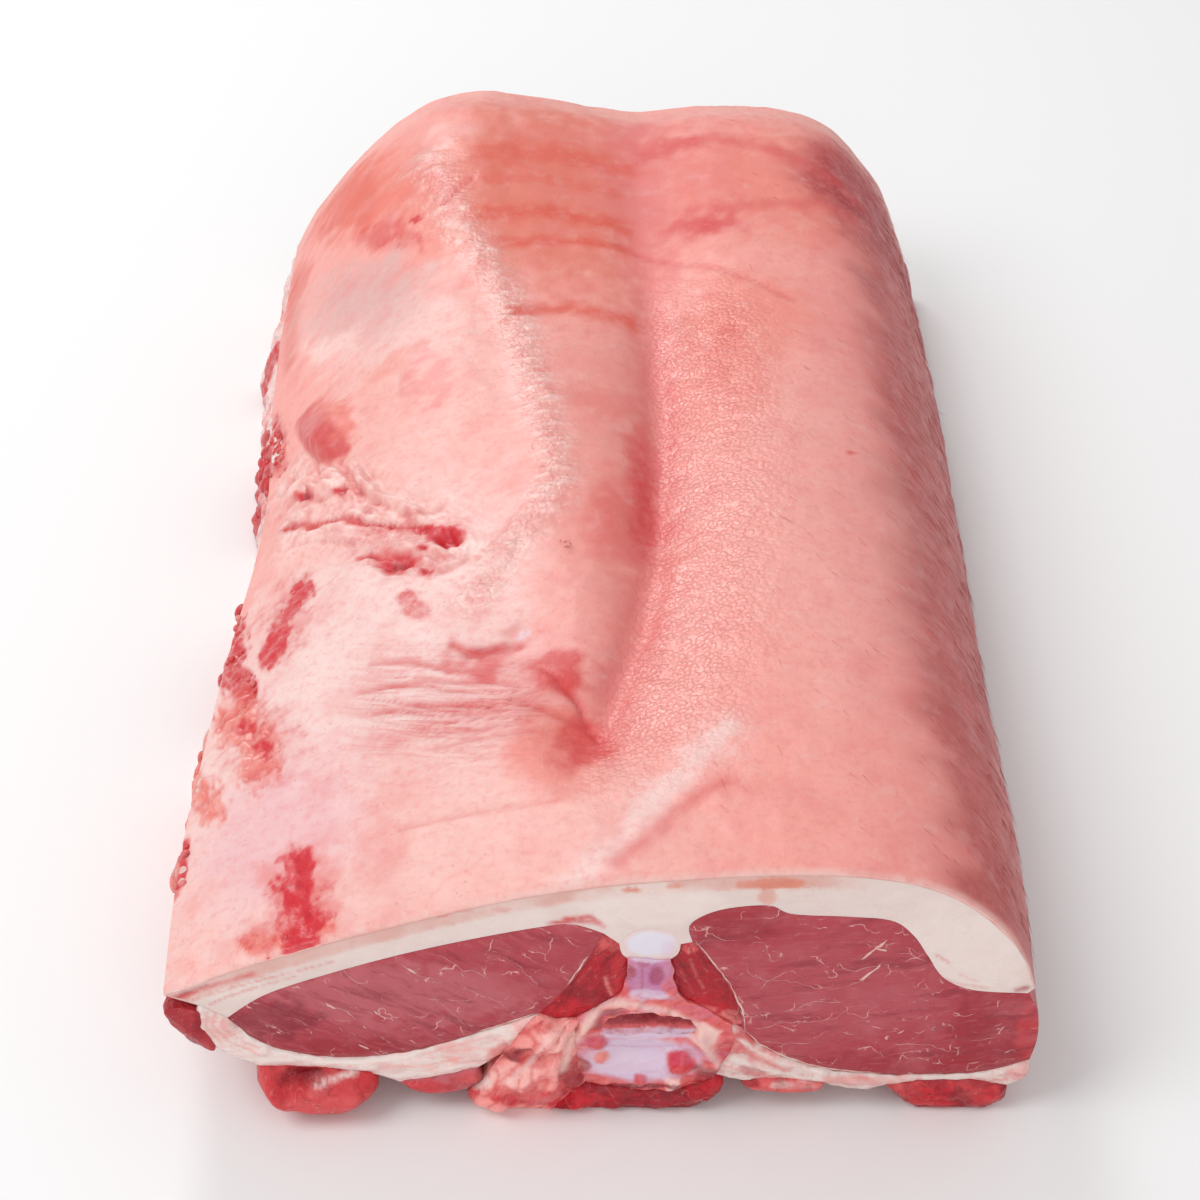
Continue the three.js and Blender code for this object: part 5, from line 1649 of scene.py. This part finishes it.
def scatterTree(kind):
    tree, given = newTree("scatter" + kind, {
        "surface": "Geometry", "where": "String", "density": "Float", "seed": "Int", "smallest": "Float",
        "largest": "Float", "stretch": "Vector", "flow": "Vector", "spread": "Float", "lift": "Float",
        "finish": "Material",
    })
    inputs = {"Name": given["where"]}
    where = outOf(tree, "GeometryNodeInputNamedAttribute", inputs, data_type="FLOAT")
    spots = addNode(tree, "GeometryNodeDistributePointsOnFaces", {
        "Mesh": given["surface"],
        "Density": times(tree, given["density"], where),
        "Seed": given["seed"],
    })
    inputs = {"Vector": spots.outputs["Normal"]}
    upright = outOf(tree, "FunctionNodeAlignRotationToVector", inputs, axis="Z")
    inputs = {"Rotation": upright, "Vector": given["flow"]}
    combed = outOf(tree, "FunctionNodeAlignRotationToVector", inputs, axis="X", pivot_axis="Z")
    inputs = {2: times(tree, given["spread"], -1.0), 3: given["spread"], "Seed": given["seed"]}
    turn = addNode(tree, "FunctionNodeRandomValue", inputs, data_type="FLOAT").outputs[1]
    angles = outOf(tree, "ShaderNodeCombineXYZ", {"Y": given["lift"], "Z": turn})
    turned = outOf(tree, "FunctionNodeEulerToRotation", {0: angles})
    inputs = {"Rotation": combed, "Rotate By": turned}
    aimed = outOf(tree, "FunctionNodeRotateRotation", inputs, rotation_space="LOCAL")
    inputs = {2: given["smallest"], 3: given["largest"], "Seed": maths(tree, "ADD", given["seed"], 7.0)}
    size = addNode(tree, "FunctionNodeRandomValue", inputs, data_type="FLOAT").outputs[1]
    inputs = {0: given["stretch"], "Scale": size}
    scale = outOf(tree, "ShaderNodeVectorMath", inputs, operation="SCALE")
    if kind == "Hairs":
        inputs = {"Vertices": 3, "Side Segments": 2, "Radius Top": 0.0, "Radius Bottom": 1.0, "Depth": 1.0}
        shape = outOf(tree, "GeometryNodeMeshCone", inputs)
        inputs = {"Geometry": shape, "Rotation": (0, math.pi / 2, 0)}
        shape = outOf(tree, "GeometryNodeTransform", inputs)
    else:
        inputs = {"Segments": 8, "Rings": 6, "Radius": 1.0}
        shape = outOf(tree, "GeometryNodeMeshUVSphere", inputs)
    inputs = {"Points": spots.outputs["Points"], "Instance": shape, "Rotation": aimed, "Scale": scale}
    return closeTree(tree, outOf(tree, "GeometryNodeInstanceOnPoints", inputs), given["finish"])


def threadTree():
    tree, given = newTree("threads", {
        "lines": "Geometry", "onto": "Object", "thickness": "Float", "wobble": "Float", "finish": "Material",
    })
    line = outOf(tree, "GeometryNodeMeshToCurve", {"Mesh": given["lines"]})
    inputs = {"Curve": line, "Length": 0.0009}
    line = outOf(tree, "GeometryNodeResampleCurve", inputs, mode="LENGTH")
    push = addNode(tree, "ShaderNodeTexNoise", {"Scale": 180.0, "Detail": 3.0}).outputs["Color"]
    inputs = {0: push, 1: (0.5, 0.5, 0.5)}
    push = outOf(tree, "ShaderNodeVectorMath", inputs, operation="SUBTRACT")
    inputs = {0: push, "Scale": given["wobble"]}
    push = outOf(tree, "ShaderNodeVectorMath", inputs, operation="SCALE")
    line = outOf(tree, "GeometryNodeSetPosition", {"Geometry": line, "Offset": push})
    onto = addNode(tree, "GeometryNodeObjectInfo", {"Object": given["onto"]}).outputs["Geometry"]
    near = addNode(tree, "GeometryNodeProximity", {0: onto}, target_element="FACES").outputs["Position"]
    line = outOf(tree, "GeometryNodeSetPosition", {"Geometry": line, "Position": near})
    way = addNode(tree, "GeometryNodeSplineParameter").outputs["Factor"]
    taper = maths(tree, "SINE", times(tree, way, math.pi))
    uneven = ramp(tree, outOf(tree, "ShaderNodeTexNoise", {"Scale": 300.0}), 0.3, 0.7, 0.4, 1.1)
    thick = times(tree, ramp(tree, taper, 0, 0.5, 0.25, 1), uneven)
    thick = times(tree, thick, given["thickness"])
    ring = outOf(tree, "GeometryNodeCurvePrimitiveCircle", {"Resolution": 6, "Radius": 1.0})
    inputs = {"Curve": line, "Profile Curve": ring, "Scale": thick, "Fill Caps": True}
    return closeTree(tree, outOf(tree, "GeometryNodeCurveToMesh", inputs), given["finish"])


def grow(name, mesh, tree, values, toneName=None):
    carrier = bpy.data.objects.new(name + "Carrier", mesh)
    bpy.context.scene.collection.objects.link(carrier)
    modifier = carrier.modifiers.new(name, "NODES")
    modifier.node_group = tree
    for item in tree.interface.items_tree:
        if item.in_out == "INPUT" and item.name in values:
            modifier[item.identifier] = values[item.name]
    shaped = carrier.evaluated_get(bpy.context.evaluated_depsgraph_get())
    made = bpy.data.meshes.new_from_object(shaped)
    bpy.data.objects.remove(carrier)
    made.name = name
    if toneName:
        spots = np.zeros(len(made.vertices) * 3)
        made.vertices.foreach_get("co", spots)
        colour = np.zeros((len(made.vertices), 3)) + tone(toneName)
        tint(colour, 0.4 * smooth(0.5 + rough(spots.reshape(-1, 3) * 1000, 4, 5)), "arch")
        paintMesh(made, colour)
    print("grown", name, len(made.polygons), "faces")
    return makeObject(name, made)


beads = {"spread": 3.0, "lift": 0.0, "finish": "red", "slot": "red_meat"}
bristles = {"on": skinPiece, "smallest": 0.003, "finish": "hair", "slot": "skin_and_fat"}
marbling = {
    "where": "onCut", "smallest": 0.0002, "largest": 0.0008, "stretch": (1.6, 0.28, 0.2), "spread": 0.8,
    "lift": 0.0, "finish": "lining", "slot": "lining", "tone": "whiteFat",
}
# each scatter: surface, where it grows, how densely in a square metre, sizes in metres
scatters = {
    "raw_grains": beads | {
        "on": skinPiece, "where": "grains", "density": 40000.0, "seed": 3, "smallest": 0.0008,
        "largest": 0.0019, "stretch": (1, 1, 0.75), "flow": (1, 0, 0),
    },
    "flank_beads": beads | {
        "on": flankPiece, "where": "beads", "density": 11000.0, "seed": 9, "smallest": 0.0016,
        "largest": 0.0046, "stretch": (1.3, 0.85, 0.6), "flow": (0, 1, 0),
    },
    "hairs": bristles | {
        "where": "hair", "density": 46000.0, "seed": 11, "largest": 0.009,
        "stretch": (1, 0.012, 0.012), "flow": (0.5, -1, -0.6), "spread": 0.35, "lift": -0.14, "tone": "hair",
    },
    "hair_tuft": bristles | {
        "where": "tuft", "density": 900000.0, "seed": 2, "largest": 0.006,
        "stretch": (1, 0.05, 0.05), "flow": (0.6, -1, 0.2), "spread": 0.6, "lift": -0.5, "tone": "tuft",
    },
    "marbling_left": marbling | {
        "on": pieces["left_loin_eye"], "density": 16000.0, "seed": 13, "flow": (1, 0, -0.6),
    },
    "marbling_right": marbling | {
        "on": pieces["right_loin_eye"], "density": 14000.0, "seed": 17, "flow": (1, 0, 0.2),
    },
}
trees = {kind: scatterTree(kind) for kind in ("Grains", "Hairs")}
for name, settings in scatters.items():
    values = {key: settings[key] for key in settings if key not in ("on", "slot", "finish", "tone")}
    values["finish"] = finishes[settings["finish"]]
    kind = "Hairs" if name.startswith("hair") else "Grains"
    grow(name, settings["on"].data, trees[kind], values, settings.get("tone"))

# each thread: the tissue it lies on, half thickness and wander in metres, tone, lines on the cut
threads = {
    "veins_right": ("right_loin_eye", 0.00015, 0.006, "dustyEye", [
        [(43.7, 70), (52.7, 61.5), (59.4, 61.5), (70.6, 57.3), (75, 60), (74, 67)],
        [(31.3, 85.8), (39.2, 80), (46, 79)], [(48.2, 38.7), (59.4, 41.6), (77.4, 44.4), (80.7, 48.7)],
        [(94.2, 31.6), (99.8, 31.6), (110, 30.2), (119, 26)], [(76, 67), (84, 66.5), (91, 68.7)],
        [(60, 47), (70, 51), (79, 52)], [(96.5, 77.2), (104, 72)], [(52, 33), (60, 31), (70, 33)],
        [(121, 33), (128, 34)],
    ]),
    "flecks_right": ("right_loin_eye", 0.0006, 0.002, "rind", [
        [(83.5, 70.8), (87.5, 75.5), (91, 80)], [(87.5, 75.5), (91, 74.8)],
        [(83.6, 61.8), (87, 65), (89.5, 68.7)], [(97, 36.5), (99, 38)],
    ]),
    "veins_left": ("left_loin_eye", 0.00015, 0.006, "dustyEye", [
        [(-83.7, 65.8), (-79.2, 62.3), (-74.7, 60.1)], [(-68, 72), (-61.3, 65.8), (-55.6, 63), (-50, 58)],
        [(-52.3, 74), (-45.5, 67.2), (-36.5, 63)], [(-54.5, 54.4), (-47.8, 46), (-43.3, 40)],
        [(-92, 52), (-86, 49), (-80, 44)], [(-30, 72), (-24, 66), (-20, 58)], [(-101, 46), (-94, 40)],
        [(-36, 54), (-30, 49)],
    ]),
    "flecks_left": ("left_loin_eye", 0.0005, 0.002, "rind", [
        [(-73.6, 47.3), (-70, 43.5)], [(-79.2, 31.5), (-75.9, 29.4)], [(-88, 51), (-85.5, 48.5)],
        [(-62, 67), (-59, 64.5)],
    ]),
    "membrane_right": ("right_loin_eye", 0.0004, 0.002, "rind", [
        [(30, 79), (35.5, 69.5), (41.5, 58.5), (46, 46), (47.2, 37)],
        [(47.2, 37), (53, 29.9), (63, 23.4), (76.5, 18.4), (93, 16.2)],
    ]),
    "membrane_left": ("left_loin_eye", 0.0004, 0.002, "rind", [
        [(-20, 45.3), (-30, 40.8), (-40, 36.1)], [(-3.5, 71.5), (-10, 58.5)],
    ]),
}
threadStart = -1.5    # mm in y, in front of the cut that they settle on
threadNodes = threadTree()
for name, (onto, thickness, wobble, toneName, paths) in threads.items():
    points, edges = [], []
    for line in paths:
        edges += [(len(points) + k, len(points) + k + 1) for k in range(len(line) - 1)]
        points += line
    first, second = np.array(points, float).T
    placed = carry(first, second, np.full(len(points), threadStart))
    lines = bpy.data.meshes.new(name + "Lines")
    lines.from_pydata(toFrame(placed).tolist(), edges, [])
    values = {
        "thickness": thickness, "wobble": wobble, "onto": pieces[onto], "finish": finishes["lining"],
    }
    grow(name, lines, threadNodes, values, toneName)

# Floor, light and camera
studio = {
    "floorSize": 12,
    "floorTone": (0.93, 0.93, 0.93, 1),
    "floorRoughness": 0.9,
    "sky": 0.55,
    "keyPower": 16,
    "keySize": 1.1,
    "keyPlace": (-1.3, -0.6, 1.7),
    "fillPower": 12,
    "fillSize": 1.8,
    "fillPlace": (0.3, -2.2, 0.5),
    "sheenPower": 9,
    "sheenSize": 0.5,
    "sheenPlace": (-0.5, 1.1, 1.5),
    "glintPower": 7,        # seen in wet places only
    "glintSize": 0.5,
    "glintPlace": (-0.8, 1.5, 1.1),
    "cameraPlace": (2.987, -869.28, 695.14),    # mm in the frame
    "cameraTilt": 51.9,
    "lens": 81,
    "sensor": 36,
}


def addLight(name):
    light = bpy.data.lights.new(name + "Light", "AREA")
    light.energy = studio[name + "Power"]
    light.size = studio[name + "Size"]
    lamp = bpy.data.objects.new(name + "Light", light)
    lamp.location = studio[name + "Place"]
    x, y, z = lamp.location
    lamp.rotation_euler = (math.atan2(math.hypot(x, y), z), 0, math.atan2(x, -y))
    lamp.visible_diffuse = name != "glint"
    bpy.context.scene.collection.objects.link(lamp)


def makeStudio():
    scene = bpy.context.scene
    scene.view_settings.view_transform = "Standard"
    world = bpy.data.worlds.new("softSky")
    world.use_nodes = True
    world.node_tree.nodes["Background"].inputs["Color"].default_value = (1, 1, 1, 1)
    world.node_tree.nodes["Background"].inputs["Strength"].default_value = studio["sky"]
    scene.world = world
    half = studio["floorSize"] / 2
    mesh = bpy.data.meshes.new("floor")
    corners = [(-half, -half, 0), (half, -half, 0), (half, half, 0), (-half, half, 0)]
    mesh.from_pydata(corners, [], [(0, 1, 2, 3)])
    paper = bpy.data.materials.new("whitePaper")
    paper.use_nodes = True
    paper.node_tree.nodes["Principled BSDF"].inputs["Base Color"].default_value = studio["floorTone"]
    paper.node_tree.nodes["Principled BSDF"].inputs["Roughness"].default_value = studio["floorRoughness"]
    mesh.materials.append(paper)
    floor = bpy.data.objects.new("floor", mesh)
    scene.collection.objects.link(floor)
    for name in ("key", "fill", "sheen", "glint"):
        addLight(name)
    lens = bpy.data.cameras.new("camera")
    lens.lens = studio["lens"]
    lens.sensor_width = studio["sensor"]
    camera = bpy.data.objects.new("camera", lens)
    camera.location = [mm / 1000 for mm in studio["cameraPlace"]]
    camera.rotation_euler = (math.radians(studio["cameraTilt"]), 0, 0)
    scene.collection.objects.link(camera)
    scene.camera = camera


makeStudio()
print("studio made")
